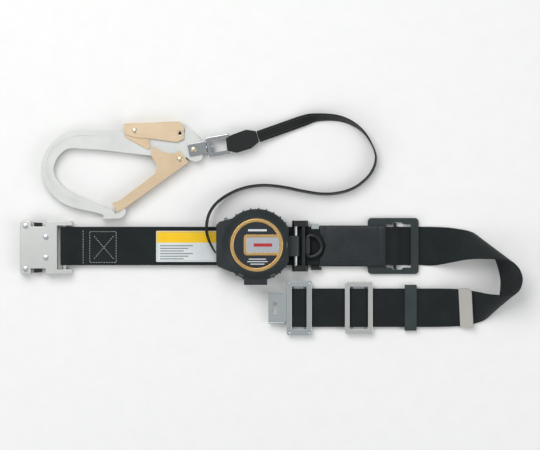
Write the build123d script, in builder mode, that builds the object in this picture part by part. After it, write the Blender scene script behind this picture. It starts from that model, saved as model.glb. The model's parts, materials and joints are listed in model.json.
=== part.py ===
"""Self retracting lifeline on a work belt: reel, lanyard, scaffold hook, belt and buckle.

Millimetres. The object lies flat: +Z is up from the table, +X runs along the belt from the
buckle to the turned loop, +Y points from the belt to the hook.
"""
import math
import os

from build123d import *

os.makedirs("parts", exist_ok=True)

# ---- belt webbing -------------------------------------------------------------------------
WEB_WIDTH = 50.0
WEB_THICK = 2.0
UPPER_Y = -22.5  # centre line of the upper run
LOWER_Y = -103.0  # centre line of the lower run
UPPER_Z = 7.2  # middle of the webbing on the buckle side of the slide plate
UNDER_Z = 1.0  # middle of the webbing where it lies on the table
LAYER_Z = 2.8  # middle of the lower run's bottom layer
LAYER_PITCH = 2.1  # from one layer of the lower run to the next
LOOP_START_X = 195.0
LOOP_WEB = 50.0  # the width of webbing that the loop's rulings are set out for
FIT = 0.3  # clearance between pieces that move or that are soft
SHAFT_FIT = 0.05  # clearance of a pin in its hole, on the radius

# ---- buckle on the left end ---------------------------------------------------------------
BUCKLE_LEFT_X = -325.0
BUCKLE_BODY = 48.2
BUCKLE_LENGTH = 68.0
BUCKLE_HEIGHT = 69.5
BUCKLE_Y = -24.5
BUCKLE_PLATE = 2.2
BUCKLE_GAP = 8.8
BUCKLE_CORNER = 3.5
NOTCH_START = 14.0
NOTCH_LENGTH = 19.0
NOTCH_DEPTH = 7.4
ARM_WIDTH = 6.4
RIVET_HEAD = 3.8
RIVET_SHANK = 2.4
RIVET_PROUD = 0.6
BELT_BAR_X = -268.0
BELT_BAR_R = 3.0
SEWN_END_X = -198.0
LEVER_DEPTH = 12.2
LEVER_TRAVEL = 3.0

# ---- reel ---------------------------------------------------------------------------------
REEL_X = -17.4
REEL_Y = -21.0
REEL_BACK_Z = 9.2
REEL_DEPTH = 31.0
REEL_RADIUS = 46.6
REEL_WALL = 2.2
REEL_FLAT = 41.3  # the side that faces the hinge is cut flat here
SNOUT = 52.3
TOOTH_COUNT = 29
TOOTH_TIP_R = 48.7
CAVITY_R = 39.6
SPLIT = 15.0
BEVEL_START = 24.5
BEVEL_TOP_R = 36.6
BEZEL_OUTER = 34.3
BEZEL_INNER = 29.5
BADGE_LEFT = -16.7
BADGE_HALF = 13.4
BADGE_RIM = 3.4
DRUM_HUB_R = 18.0
DRUM_FLANGE_R = 34.0
FLANGE = 1.4
SHAFT_R = 3.0
RIBBON_WIDTH = 15.0
RIBBON_THICK = 1.8
ROLL_R = 31.6
PAWL_THICK = 3.0
RATCHET_TIP_R = 36.2
RATCHET_R = 39.3
RATCHET_TEETH = 12
BUTTON_R = 2.4
BUTTON_TRAVEL = 2.0

# ---- hinge bracket and D ring -------------------------------------------------------------
PIN_X = 33.2
PIN_R = 2.5
PIN_Z = REEL_BACK_Z + 5.0
KNUCKLE_R = 5.2
BRACKET_LEFT_X = 28.4
BRACKET_RIGHT_X = 49.2
BRACKET_LENGTH = 66.0
BRACKET_PLATE = 2.4
FRONT_BAR_X = 40.6
FRONT_BAR_WIDTH = 5.0
D_ROD_R = 2.7
D_BAR_X = 48.4
D_BAR_HALF = 13.8
D_NECK = 3.8
D_Z = UPPER_Z + 6.0

# ---- slide plate and sleeve ---------------------------------------------------------------
PLATE_X = 160.3
PLATE_LENGTH = 66.4
PLATE_HEIGHT = 73.0
PLATE_THICK = 2.5
PLATE_Z = 2.4
PLATE_CORNER = 5.0
SLOT_LEFT_X = 150.6
SLOT_RIGHT_X = 183.4
SLOT_HEIGHT = 56.4
SLEEVE_LEFT_X = 64.8
SLEEVE_RIGHT_X = 150.0
SLEEVE_WIDTH = 53.4
SLEEVE_TOP = 1.6
SLEEVE_BACK = 0.9

# ---- tongue, slider, keeper and tip on the lower run --------------------------------------
TONGUE_LEFT_X = -2.4
TONGUE_WIDTH = 41.0
FRAME_LEFT_X = 21.3
FRAME_LENGTH = 33.0
FRAME_HEIGHT = 71.4
FRAME_SIDE = 7.0
SLIDER_LEFT_X = 97.2
SLIDER_LENGTH = 36.4
SLIDER_HEIGHT = 67.8
SLIDER_SIDE = 6.3
FRAME_THICK = 2.8
FRAME_OPENING = 54.6
ADJUST_BAR = 2.0
KEEPER_LEFT_X = 175.3
KEEPER_LENGTH = 15.4
KEEPER_HEIGHT = 59.8
KEEPER_WALL = 1.5
TIP_X = 254.5
TIP_Z = 13.3
TIP_LENGTH = 17.0
TIP_WALL = 0.6
TIP_SLOPE_X = 0.25
TIP_SLOPE_Y = 0.29

# ---- hook ---------------------------------------------------------------------------------
HOOK_Z = 8.2  # middle plane of the hook
HOOK_THICK = 10.0
GROOVE_WIDTH = 3.2
GROOVE_DEPTH = 0.7
SHEET = 1.2
GATE_GAP = 0.4
GATE_PIVOT = (-117.2, 90.4)
LEVER_PIVOT = (-176.0, 127.3)
HOOK_RIVET_R = 2.0
HOOK_RIVET_HEAD = 3.4

# ---- swivel -------------------------------------------------------------------------------
CLEVIS_PIVOT = (-99.3, 102.7)
SWIVEL_ANGLE = 10.0
CLEVIS_WALL = 2.0
CLEVIS_BACK = 7.0
CLEVIS_WEB = 13.8
CLEVIS_WEB_THICK = 2.8
CLEVIS_WIDTH = 16.0
EYE_START = 16.9
EYE_LENGTH = 32.0
EYE_WIDTH = 26.4
EYE_BAR = 5.0
EYE_THICK = 7.0
BOLT_R = 3.0
BOLT_HEAD = 11.0

# ---- heights that follow from the sizes above ---------------------------------------------
UPPER_FACE = UPPER_Z + WEB_THICK / 2
TOP_LAYER_Z = LAYER_Z + LAYER_PITCH
HALF_WEB = WEB_WIDTH / 2
REEL_TOP_Z = REEL_BACK_Z + REEL_DEPTH
DRUM_Z = REEL_BACK_Z + REEL_WALL + FIT
ROLL_Z = DRUM_Z + FLANGE + FIT
RIBBON_EXIT_Z = ROLL_Z + RIBBON_WIDTH / 2


def save(body: BuildPart, name: str) -> None:
    """Label a finished piece and write its STEP file."""
    body.part.label = name
    export_step(body.part, f"parts/{name}.step")


def sheet_points(points, z_low, thick):
    """A flat plate of the given outline, from z_low up."""
    with BuildPart() as plate:
        with BuildSketch(Plane.XY.offset(z_low)):
            with BuildLine():
                Polyline(*points, close=True)
            make_face()
        extrude(amount=thick)
    return plate.part


def strap(points, radii, width, y_centre, thick):
    """A strap whose side view is a line of runs and tangent arcs in the XZ plane."""
    with BuildPart() as body:
        with BuildSketch(Plane.XZ.offset(-y_centre)):
            with BuildLine() as route:
                FilletPolyline(*points, radius=radii)
            trace(lines=route.line, line_width=thick)
        extrude(amount=width / 2, both=True)
    return body.part


def thin_quad(edge_a, edge_b, along, thick):
    """The section of a strap on one ruling: from edge_a to edge_b, square to the surface."""
    start = Vector(*edge_a)
    end = Vector(*edge_b)
    across = end - start
    normal = across.cross(Vector(*along)).normalized()
    facing = across.normalized().cross(normal)
    plane = Plane(origin=(start + end) / 2, x_dir=across.normalized(), z_dir=facing)
    with BuildSketch(plane) as section:
        Rectangle(across.length, thick)
    return section.sketch.faces()[0]


def ruled_strap(rulings, thick, first=None, last=None):
    """A strap lofted through its rulings; first and last fix the direction at its ends."""
    mids = [(Vector(*a) + Vector(*b)) / 2 for a, b in rulings]
    quads = []
    for index, (edge_a, edge_b) in enumerate(rulings):
        before = mids[max(index - 1, 0)]
        after = mids[min(index + 1, len(mids) - 1)]
        along = after - before
        if index == 0 and first:
            along = Vector(*first)
        if index == len(rulings) - 1 and last:
            along = Vector(*last)
        quads.append(thin_quad(edge_a, edge_b, along, thick))
    with BuildPart() as body:
        loft(sections=quads, ruled=True)
    return body.part


# ======================================= belt ==============================================
fold_r = BELT_BAR_R + 0.2 + WEB_THICK / 2
fold_left = BELT_BAR_X - fold_r
lower_ply = UPPER_Z - WEB_THICK - 0.06
plate_bar_x = 162.6
upper_route = [
    (SEWN_END_X, lower_ply),
    (BELT_BAR_X + 20, lower_ply),
    (BELT_BAR_X + 6, UPPER_Z - fold_r),
    (fold_left, UPPER_Z - fold_r),
    (fold_left, UPPER_Z + fold_r),
    (BELT_BAR_X + 6, UPPER_Z + fold_r),
    (BELT_BAR_X + 20, UPPER_Z),
    (SLOT_LEFT_X + 0.4, UPPER_Z),
    (plate_bar_x - 7.6, UPPER_Z - 1.8),
    (plate_bar_x - 2.8, UPPER_Z - 0.6),
    (plate_bar_x + 2.2, UPPER_Z - 0.7),
    (plate_bar_x + 8.0, UNDER_Z + 0.5),
    (plate_bar_x + 13.4, UNDER_Z),
    (LOOP_START_X, UNDER_Z),
]
upper_radii = [4, 4, fold_r - 0.05, fold_r - 0.05, 4, 4, 2, 2, 2, 2, 2, 4]
upper_strap = strap(upper_route, upper_radii, WEB_WIDTH, UPPER_Y, WEB_THICK)

frame_bar_z = LAYER_Z + WEB_THICK / 2 + 0.2 + ADJUST_BAR / 2
over_bar = frame_bar_z + ADJUST_BAR / 2 + 0.2 + WEB_THICK / 2
frame_bar_x = FRAME_LEFT_X + FRAME_SIDE + 9.0
frame_bar_half = 6.2
slider_bar_x = SLIDER_LEFT_X + SLIDER_LENGTH / 2
slider_bar_half = 7.5
wrap_left = frame_bar_x - frame_bar_half - 1.2 - WEB_THICK / 2
lower_route = [
    (LOOP_START_X, LAYER_Z),
    (wrap_left, LAYER_Z),
    (wrap_left, over_bar),
    (frame_bar_x + frame_bar_half + 1.0, over_bar),
    (frame_bar_x + frame_bar_half + 5.6, TOP_LAYER_Z),
    (slider_bar_x - slider_bar_half - 5.6, TOP_LAYER_Z),
    (slider_bar_x - slider_bar_half - 1.0, over_bar),
    (slider_bar_x + slider_bar_half + 1.0, over_bar),
    (slider_bar_x + slider_bar_half + 5.6, TOP_LAYER_Z),
    (LOOP_START_X, TOP_LAYER_Z),
]
wrap_r = (over_bar - LAYER_Z) / 2 - 0.05
lower_radii = [wrap_r, wrap_r, 3, 3, 3, 3, 3, 3]
lower_strap = strap(lower_route, lower_radii, WEB_WIDTH, LOWER_Y, WEB_THICK)

# The loop stands on its outer edge A and leans outwards; each pair is one straight ruling
# across the webbing, from edge A, which stays on the table, to edge B.
upper_a = UPPER_Y + HALF_WEB
upper_b = UPPER_Y - HALF_WEB
lower_a = LOWER_Y - HALF_WEB
lower_b = LOWER_Y + HALF_WEB
loop_rulings = [
    ((LOOP_START_X, upper_a, UNDER_Z), (LOOP_START_X, upper_b, UNDER_Z)),
    ((217, 2.2, 1), (214, -48.0, 3)),
    ((234, 1.2, 1), (236, -43.6, 20)),
    ((246, -0.6, 1), (256, -39.6, 31)),
    ((255, -2.2, 1), (276, -38.8, 38)),
    ((261, -4, 1), (295, -39.6, 42)),
    ((268, -8, 1), (310, -42.8, 43.5)),
    ((281, -20.5, 1), (318, -49, 44)),
    ((293.6, -39.4, 1), (322.6, -56, 44)),
    ((300.1, -63, 1), (324.9, -65, 44)),
    ((300.2, -80, 1), (323.2, -74, 44)),
    ((297, -97, 1), (320, -79.5, 44)),
    ((288, -111, 1), (314.5, -83.5, 43.5)),
    ((279, -119, 1), (302, -85.5, 40.5)),
    ((268, -123.3, 1), (284, -84.7, 33)),
    ((255, -126, 1), (266, -81.3, 20)),
    ((238, -127.6, 1), (246, -78.6, 11)),
    ((218, -128, 1.6), (221, -78, 4.2)),
    ((LOOP_START_X, lower_a, LAYER_Z), (LOOP_START_X, lower_b, LAYER_Z)),
]
for index in range(1, len(loop_rulings) - 1):
    edge_a, edge_b = Vector(*loop_rulings[index][0]), Vector(*loop_rulings[index][1])
    loop_rulings[index] = (edge_a, edge_a + (edge_b - edge_a) * WEB_WIDTH / LOOP_WEB)
loop_strap = ruled_strap(loop_rulings, WEB_THICK, first=(1, 0, 0), last=(-1, 0, 0))


def tip_height(x, y):
    """The middle of the webbing under the tip, which leans with the loop below it."""
    return TIP_Z + TIP_SLOPE_X * (x - TIP_X) + TIP_SLOPE_Y * (y - LOWER_Y)


def tail_ruling(x):
    """One ruling of the tail where it follows the tip's own slope."""
    edge_a = LOWER_Y - HALF_WEB + 1.0
    edge_b = LOWER_Y + HALF_WEB - 1.0
    return ((x, edge_a, tip_height(x, edge_a)), (x, edge_b, tip_height(x, edge_b)))


tail_rulings = [
    ((LOOP_START_X, lower_a, TOP_LAYER_Z), (LOOP_START_X, lower_b, TOP_LAYER_Z)),
    ((218, -128, 4.6), (218, -78.2, 8.4)),
    ((232, -127.6, 3.9), (232, -78.9, 12.8)),
    tail_ruling(TIP_X - TIP_LENGTH / 2 - 2.5),
    tail_ruling(TIP_X + TIP_LENGTH / 2 - 5.0),
]
tail_along = (1, 0, TIP_SLOPE_X)
tail_strap = ruled_strap(tail_rulings, WEB_THICK, first=(1, 0, 0), last=tail_along)

with BuildPart() as belt_webbing:
    add(upper_strap)
    add(lower_strap)
    add(loop_strap)
    add(tail_strap)
save(belt_webbing, "belt_webbing")

with BuildPart() as sewn_label:
    with BuildSketch(Plane.XY.offset(UPPER_FACE)):
        with Locations((-99.4, UPPER_Y - 0.5)):
            RectangleRounded(98.0, 40.4, 1.5)
    extrude(amount=0.5)
save(sewn_label, "sewn_label")

sleeve_low = UPPER_Z - WEB_THICK / 2 - 0.1 - SLEEVE_BACK
sleeve_high = UPPER_FACE + 0.1 + SLEEVE_TOP
sleeve_mid_z = (sleeve_low + sleeve_high) / 2
with BuildPart() as pad_sleeve:
    with BuildSketch(Plane.YZ.offset(SLEEVE_LEFT_X)):
        with Locations((UPPER_Y, sleeve_mid_z)):
            RectangleRounded(SLEEVE_WIDTH, sleeve_high - sleeve_low, 2.0)
        with Locations((UPPER_Y, UPPER_Z)):
            Rectangle(WEB_WIDTH + 0.4, WEB_THICK + 0.2, mode=Mode.SUBTRACT)
    extrude(amount=SLEEVE_RIGHT_X - SLEEVE_LEFT_X)
    with BuildSketch(Plane.XY.offset(UPPER_FACE + 0.1)):
        with Locations((D_BAR_X + D_NECK, UPPER_Y)):
            Circle(D_BAR_HALF + 6.0)
    extrude(amount=SLEEVE_TOP + 1, mode=Mode.SUBTRACT)
save(pad_sleeve, "pad_sleeve")

# ===================================== slide plate =========================================
octagon_left_x = 156.8
octagon_right_x = 174.4
octagon_half = 30.8
octagon_flat = 3.6
with BuildPart() as slide_plate:
    with BuildSketch(Plane.XY.offset(PLATE_Z)):
        with Locations((PLATE_X, UPPER_Y)):
            RectangleRounded(PLATE_LENGTH, PLATE_HEIGHT, PLATE_CORNER)
        with Locations(((SLOT_LEFT_X + SLOT_RIGHT_X) / 2, UPPER_Y)):
            RectangleRounded(SLOT_RIGHT_X - SLOT_LEFT_X, SLOT_HEIGHT, 1.2, mode=Mode.SUBTRACT)
        with BuildLine():
            Polyline(
                (octagon_left_x, UPPER_Y),
                (octagon_left_x, UPPER_Y + octagon_half - octagon_flat),
                (octagon_left_x + octagon_flat, UPPER_Y + octagon_half),
                (octagon_right_x - octagon_flat, UPPER_Y + octagon_half),
                (octagon_right_x, UPPER_Y + octagon_half - octagon_flat),
                (octagon_right_x, UPPER_Y),
            )
            mirror(about=Plane.XZ.offset(-UPPER_Y))
        make_face(mode=Mode.SUBTRACT)
    extrude(amount=PLATE_THICK)
    rim = slide_plate.faces().filter_by(Axis.Z).sort_by(Axis.Z)[-1].outer_wire()
    fillet(rim.edges(), radius=0.8)
save(slide_plate, "slide_plate")

with BuildPart() as plate_bar:
    with BuildSketch(Plane.XY.offset(PLATE_Z + 0.2)):
        with Locations((plate_bar_x, UPPER_Y)):
            RectangleRounded(4.0, 2 * octagon_half - 1.0, 0.8)
    extrude(amount=PLATE_THICK - 0.4)
save(plate_bar, "plate_bar")

# ======================================= buckle ============================================
rear_z = UPPER_Z - BUCKLE_GAP / 2 - BUCKLE_PLATE
front_z = UPPER_Z + BUCKLE_GAP / 2
arm_y = BUCKLE_HEIGHT / 2 - ARM_WIDTH / 2
rivet_places = [
    (BUCKLE_LEFT_X + 7.2, BUCKLE_Y + 28.0),
    (BUCKLE_LEFT_X + 7.2, BUCKLE_Y - 28.0),
    (BUCKLE_LEFT_X + 33.6, BUCKLE_Y + 13.4),
    (BUCKLE_LEFT_X + 33.6, BUCKLE_Y - 13.4),
]


def buckle_plate(z_low):
    """One of the two riveted buckle plates, with its arms and its two thumb notches."""
    with BuildPart() as plate:
        with BuildSketch(Plane.XY.offset(z_low)):
            with Locations((BUCKLE_LEFT_X + BUCKLE_LENGTH / 2, BUCKLE_Y)):
                RectangleRounded(BUCKLE_LENGTH, BUCKLE_HEIGHT, BUCKLE_CORNER)
            with Locations((BUCKLE_LEFT_X + BUCKLE_BODY + BUCKLE_LENGTH / 2, BUCKLE_Y)):
                Rectangle(BUCKLE_LENGTH, BUCKLE_HEIGHT - 2 * ARM_WIDTH, mode=Mode.SUBTRACT)
            for side in (1, -1):
                notch_y = BUCKLE_Y + side * (BUCKLE_HEIGHT - NOTCH_DEPTH) / 2
                with Locations((BUCKLE_LEFT_X + NOTCH_START + NOTCH_LENGTH / 2, notch_y)):
                    Rectangle(NOTCH_LENGTH, NOTCH_DEPTH, mode=Mode.SUBTRACT)
        extrude(amount=BUCKLE_PLATE)
        with BuildSketch(Plane.XY.offset(z_low)):
            with Locations(*rivet_places):
                Circle(RIVET_SHANK + SHAFT_FIT)
        extrude(amount=BUCKLE_PLATE, mode=Mode.SUBTRACT)
    return plate.part


arm_left_x = BUCKLE_LEFT_X + BUCKLE_BODY
arm_right_x = BUCKLE_LEFT_X + BUCKLE_LENGTH
arm_block_x = (arm_left_x + arm_right_x) / 2
with BuildPart() as buckle_rear_plate:
    add(buckle_plate(rear_z))
    for side in (1, -1):
        with BuildSketch(Plane.XY.offset(rear_z + BUCKLE_PLATE)):
            with Locations((arm_block_x + 0.5, BUCKLE_Y + side * arm_y)):
                Rectangle(arm_right_x - arm_left_x - 3.0, ARM_WIDTH)
        extrude(amount=BUCKLE_GAP)
    with BuildSketch(Plane.XZ.offset(-BUCKLE_Y)):
        with Locations((BELT_BAR_X, UPPER_Z)):
            Circle(BELT_BAR_R + SHAFT_FIT)
    extrude(amount=BUCKLE_HEIGHT, both=True, mode=Mode.SUBTRACT)
save(buckle_rear_plate, "buckle_rear_plate")

with BuildPart() as buckle_front_plate:
    add(buckle_plate(front_z))
    lip = buckle_front_plate.faces().filter_by(Axis.Z).sort_by(Axis.Z)[-1].outer_wire()
    fillet(lip.edges(), radius=0.7)
save(buckle_front_plate, "buckle_front_plate")

with BuildPart() as buckle_spacers:
    with BuildSketch(Plane.XY.offset(rear_z + BUCKLE_PLATE)):
        with Locations(*rivet_places):
            Circle(RIVET_HEAD)
            Circle(RIVET_SHANK + SHAFT_FIT, mode=Mode.SUBTRACT)
    extrude(amount=BUCKLE_GAP)
save(buckle_spacers, "buckle_spacers")

buckle_depth = BUCKLE_GAP + 2 * BUCKLE_PLATE
with BuildPart() as buckle_rivets:
    with BuildSketch(Plane.XY.offset(rear_z)):
        with Locations(*rivet_places):
            Circle(RIVET_SHANK)
    extrude(amount=buckle_depth)
    with BuildSketch(Plane.XY.offset(front_z + BUCKLE_PLATE)):
        with Locations(*rivet_places):
            Circle(RIVET_HEAD)
    extrude(amount=RIVET_PROUD, taper=30)
    with BuildSketch(Plane.XY.offset(rear_z)):
        with Locations(*rivet_places):
            Circle(RIVET_HEAD)
    extrude(amount=-RIVET_PROUD, taper=30)
save(buckle_rivets, "buckle_rivets")

with BuildPart() as belt_bar:
    with BuildSketch(Plane.XZ.offset(-BUCKLE_Y)):
        with Locations((BELT_BAR_X, UPPER_Z)):
            Circle(BELT_BAR_R)
    extrude(amount=BUCKLE_HEIGHT / 2 - 1.0, both=True)
save(belt_bar, "belt_bar")

lever_mid_x = BUCKLE_LEFT_X + NOTCH_START + NOTCH_LENGTH / 2
lever_thick = BUCKLE_GAP - 2 * FIT
for side, lever_name in ((1, "release_lever_upper"), (-1, "release_lever_lower")):
    pad_edge = BUCKLE_Y + side * (BUCKLE_HEIGHT / 2 - 2.0)
    with BuildPart() as release_lever:
        with BuildSketch(Plane.XY.offset(rear_z + BUCKLE_PLATE + FIT)):
            with BuildLine():
                Polyline(
                    (lever_mid_x - 6.6, pad_edge),
                    (lever_mid_x + 5.0, pad_edge - side * 0.6),
                    (lever_mid_x + 4.2, pad_edge - side * 5.0),
                    (lever_mid_x + 9.0, pad_edge - side * 9.0),
                    (lever_mid_x + 9.0, pad_edge - side * LEVER_DEPTH),
                    (lever_mid_x - 3.0, pad_edge - side * LEVER_DEPTH),
                    (lever_mid_x - 5.0, pad_edge - side * 5.0),
                    close=True,
                )
            make_face()
        extrude(amount=lever_thick)
    save(release_lever, lever_name)


def spring(origin, direction, radius, wire, pitch, length):
    """A coil spring of round wire, wound about a straight axis."""
    with BuildPart() as coil:
        with BuildLine() as winding:
            turns = Helix(pitch=pitch, height=length, radius=radius, center=origin, direction=direction)
        with BuildSketch(Plane(origin=turns @ 0, z_dir=turns % 0)):
            Circle(wire / 2)
        sweep(path=winding.wires()[0])
    return coil.part


return_length = 8.4
return_top = BUCKLE_HEIGHT / 2 - 2.0 - LEVER_DEPTH - FIT - 0.4
with BuildPart() as lever_springs:
    for side in (1, -1):
        low = min(side * return_top, side * (return_top - return_length))
        foot = (lever_mid_x + 3, BUCKLE_Y + low, UPPER_Z)
        add(spring(foot, (0, 1, 0), 2.2, 0.7, 1.5, return_length))
save(lever_springs, "lever_springs")

# ===================================== lower run ===========================================
frame_z = TOP_LAYER_Z + WEB_THICK / 2 + 1.2
frame_top = frame_z + FRAME_THICK


def ladder_frame(left_x, length, height, side_bar, low_z):
    """A frame that lies over the webbing, with rails that drop round the bar's ends."""
    middle_x = left_x + length / 2
    rail = (height - FRAME_OPENING) / 2
    with BuildPart() as frame:
        with BuildSketch(Plane.XY.offset(frame_z)):
            with Locations((middle_x, LOWER_Y)):
                RectangleRounded(length, height, 3.0)
                Rectangle(length - 2 * side_bar, FRAME_OPENING, mode=Mode.SUBTRACT)
        extrude(amount=FRAME_THICK)
        with BuildSketch(Plane.XY.offset(low_z)):
            for side in (1, -1):
                with Locations((middle_x, LOWER_Y + side * (height - rail) / 2)):
                    Rectangle(length - 2 * side_bar, rail - 1.6)
        extrude(amount=frame_z - low_z)
        top = frame.faces().filter_by(Axis.Z).sort_by(Axis.Z)[-1]
        fillet(top.edges(), radius=0.8)
    return frame.part


def adjuster_bar(middle_x, half, height):
    """The flat bar inside a frame, with the webbing over it."""
    with BuildPart() as bar:
        with BuildSketch(Plane.XY.offset(frame_bar_z - ADJUST_BAR / 2)):
            with Locations((middle_x, LOWER_Y)):
                RectangleRounded(2 * half, height, 0.9)
        extrude(amount=ADJUST_BAR)
    return bar.part


def bar_slot(middle_x, half, height):
    """The cut that a bar's ends need in the rails of its frame."""
    with BuildPart() as slot:
        with Locations((middle_x, LOWER_Y, frame_bar_z)):
            Box(2 * half + 2 * FIT, height + 2 * FIT, ADJUST_BAR + 0.2)
    return slot.part


frame_bar_span = FRAME_HEIGHT - 6.0
slider_bar_span = SLIDER_HEIGHT - 5.0
neck_x = FRAME_LEFT_X - 3.0
tongue_mid_x = (TONGUE_LEFT_X + neck_x) / 2
with BuildPart() as tongue_frame:
    add(ladder_frame(FRAME_LEFT_X, FRAME_LENGTH, FRAME_HEIGHT, FRAME_SIDE, 2.0))
    add(bar_slot(frame_bar_x, frame_bar_half, frame_bar_span), mode=Mode.SUBTRACT)
    for side_x in (3.6, FRAME_LENGTH - 3.6):
        for side in (1, -1):
            dimple_y = LOWER_Y + side * (FRAME_HEIGHT / 2 - 3.6)
            with Locations((FRAME_LEFT_X + side_x, dimple_y, frame_top + 1.4)):
                Sphere(2.4, mode=Mode.SUBTRACT)
save(tongue_frame, "tongue_frame")

with BuildPart() as tongue_plate:
    with BuildSketch(Plane.XY.offset(frame_z)):
        with Locations((tongue_mid_x, LOWER_Y)):
            Rectangle(neck_x - TONGUE_LEFT_X, TONGUE_WIDTH)
        with Locations(((neck_x + FRAME_LEFT_X) / 2 - 0.5, LOWER_Y)):
            Rectangle(FRAME_LEFT_X - neck_x + 1.0, TONGUE_WIDTH - 5.4)
    extrude(amount=2.0)
    for side in (1, -1):
        with Locations((tongue_mid_x, LOWER_Y + side * (TONGUE_WIDTH / 2 - 0.7), frame_z + 1.9)):
            Box(neck_x - TONGUE_LEFT_X - 1.0, 1.4, 3.8)
    with Locations((tongue_mid_x - 2.0, LOWER_Y, frame_z + 1.0)):
        Box(5.0, 14.0, 3.0, mode=Mode.SUBTRACT)
save(tongue_plate, "tongue_plate")

with BuildPart() as frame_bar:
    add(adjuster_bar(frame_bar_x, frame_bar_half, frame_bar_span))
save(frame_bar, "frame_bar")

with BuildPart() as slider_frame:
    add(ladder_frame(SLIDER_LEFT_X, SLIDER_LENGTH, SLIDER_HEIGHT, SLIDER_SIDE, 1.0))
    add(bar_slot(slider_bar_x, slider_bar_half, slider_bar_span), mode=Mode.SUBTRACT)
save(slider_frame, "slider_frame")

with BuildPart() as slider_bar:
    add(adjuster_bar(slider_bar_x, slider_bar_half, slider_bar_span))
save(slider_bar, "slider_bar")

keeper_low = LAYER_Z - WEB_THICK / 2 - FIT
keeper_high = TOP_LAYER_Z + WEB_THICK / 2 + FIT
keeper_mid_z = (keeper_low + keeper_high) / 2
keeper_depth = keeper_high - keeper_low
with BuildPart() as belt_keeper:
    with BuildSketch(Plane.YZ.offset(KEEPER_LEFT_X)):
        with Locations((LOWER_Y, keeper_mid_z)):
            RectangleRounded(KEEPER_HEIGHT, keeper_depth + 2 * KEEPER_WALL, 2.0)
            RectangleRounded(WEB_WIDTH + 2 * FIT, keeper_depth, 0.6, mode=Mode.SUBTRACT)
    extrude(amount=KEEPER_LENGTH)
save(belt_keeper, "belt_keeper")

tip_normal = Vector(-TIP_SLOPE_X, -TIP_SLOPE_Y, 1).normalized()
tip_plane = Plane(origin=(TIP_X, LOWER_Y, TIP_Z), x_dir=(1, 0, TIP_SLOPE_X), z_dir=tip_normal)
tip_span = 52.6
with BuildPart() as belt_tip:
    with BuildSketch(tip_plane.offset(-WEB_THICK / 2 - TIP_WALL - 0.05)):
        Rectangle(TIP_LENGTH, tip_span)
        with Locations((TIP_LENGTH / 2, tip_span / 2)):
            Rectangle(6.4, 6.4, rotation=45, mode=Mode.SUBTRACT)
    extrude(amount=WEB_THICK + 2 * TIP_WALL + 0.1)
    with BuildSketch(tip_plane.offset(-WEB_THICK / 2 - 0.05)):
        with Locations((-2.0, 0)):
            Rectangle(TIP_LENGTH, tip_span + 2.0)
    extrude(amount=WEB_THICK + 0.1, mode=Mode.SUBTRACT)
save(belt_tip, "belt_tip")

# ======================================= hook ==============================================
half_hook = HOOK_THICK / 2
inner_gap = half_hook + GATE_GAP
outer_gap = inner_gap + SHEET + GATE_GAP
swivel_dir = Vector(1, 0, 0).rotate(Axis.Z, SWIVEL_ANGLE)
swivel_plane = Plane(origin=(*CLEVIS_PIVOT, HOOK_Z), x_dir=swivel_dir, z_dir=(0, 0, 1))
rivet_hole = HOOK_RIVET_R + SHAFT_FIT
spring_pocket_r = 6.2
spring_pocket = 5.0

with BuildPart() as hook_body:
    with BuildSketch(Plane.XY.offset(HOOK_Z - half_hook)):
        with BuildLine():
            Spline(
                (-251.0, 126.6),
                (-281.0, 114.3),
                (-297.4, 79.0),
                (-281.0, 42.3),
                (-251.0, 26.4),
                (-216.4, 15.9),
                (-197.8, 13.3),
                tangents=[(-1, 0), (1, 0.05)],
            )
            ThreePointArc((-197.8, 13.3), (-189.6, 17.2), (-188.2, 26.4))
            Polyline((-188.2, 26.4), (-196.0, 25.6), (-200.8, 18.6), (-205.7, 25.2), (-212.9, 26.6))
            Spline(
                (-212.9, 26.6),
                (-233.7, 36.8),
                (-270.3, 56.0),
                (-281.6, 77.0),
                (-273.7, 96.1),
                (-254.6, 104.8),
                tangents=[(-1, 0.5), (1, -0.03)],
            )
            Polyline(
                (-254.6, 104.8),
                (-216.4, 102.2),
                (-150.0, 94.6),
                (-126.0, 91.5),
                (-108.0, 92.5),
                (-104.2, 89.0),
                (-96.4, 86.7),
                (-88.6, 90.0),
                (-86.6, 102.3),
                (-88.6, 113.6),
                (-111.2, 136.4),
                (-111.2, 123.6),
                (-167.0, 126.4),
                (-251.0, 126.6),
            )
        make_face()
        with Locations(GATE_PIVOT, LEVER_PIVOT):
            Circle(7.0)
    extrude(amount=HOOK_THICK)
    with BuildSketch(Plane.XY.offset(HOOK_Z - half_hook)):
        with Locations(GATE_PIVOT, LEVER_PIVOT, CLEVIS_PIVOT):
            Circle(rivet_hole)
    extrude(amount=HOOK_THICK, mode=Mode.SUBTRACT)
    with BuildSketch(Plane.XY.offset(HOOK_Z - spring_pocket / 2)):
        with Locations(GATE_PIVOT, LEVER_PIVOT):
            Circle(spring_pocket_r)
        with Locations((GATE_PIVOT[0], GATE_PIVOT[1] - 5), (LEVER_PIVOT[0], LEVER_PIVOT[1] + 5)):
            Rectangle(2 * spring_pocket_r, 10)
    extrude(amount=spring_pocket, mode=Mode.SUBTRACT)
    with BuildSketch(swivel_plane.offset(-half_hook)):
        with Locations((CLEVIS_WEB - 2.0 + 10.0, 0)):
            Rectangle(20.0, 60.0)
    extrude(amount=HOOK_THICK, mode=Mode.SUBTRACT)
    for face_z, depth in ((HOOK_Z + half_hook, -GROOVE_DEPTH), (HOOK_Z - half_hook, GROOVE_DEPTH)):
        with BuildSketch(Plane.XY.offset(face_z)):
            with BuildLine() as groove:
                Spline(
                    (-224.0, 119.0),
                    (-252.0, 119.0),
                    (-276.0, 108.0),
                    (-289.6, 79.0),
                    (-276.0, 48.6),
                    (-248.0, 33.8),
                    tangents=[(-1, 0), (1, -0.35)],
                )
            trace(lines=groove.line, line_width=GROOVE_WIDTH)
        extrude(amount=depth, mode=Mode.SUBTRACT)
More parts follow.
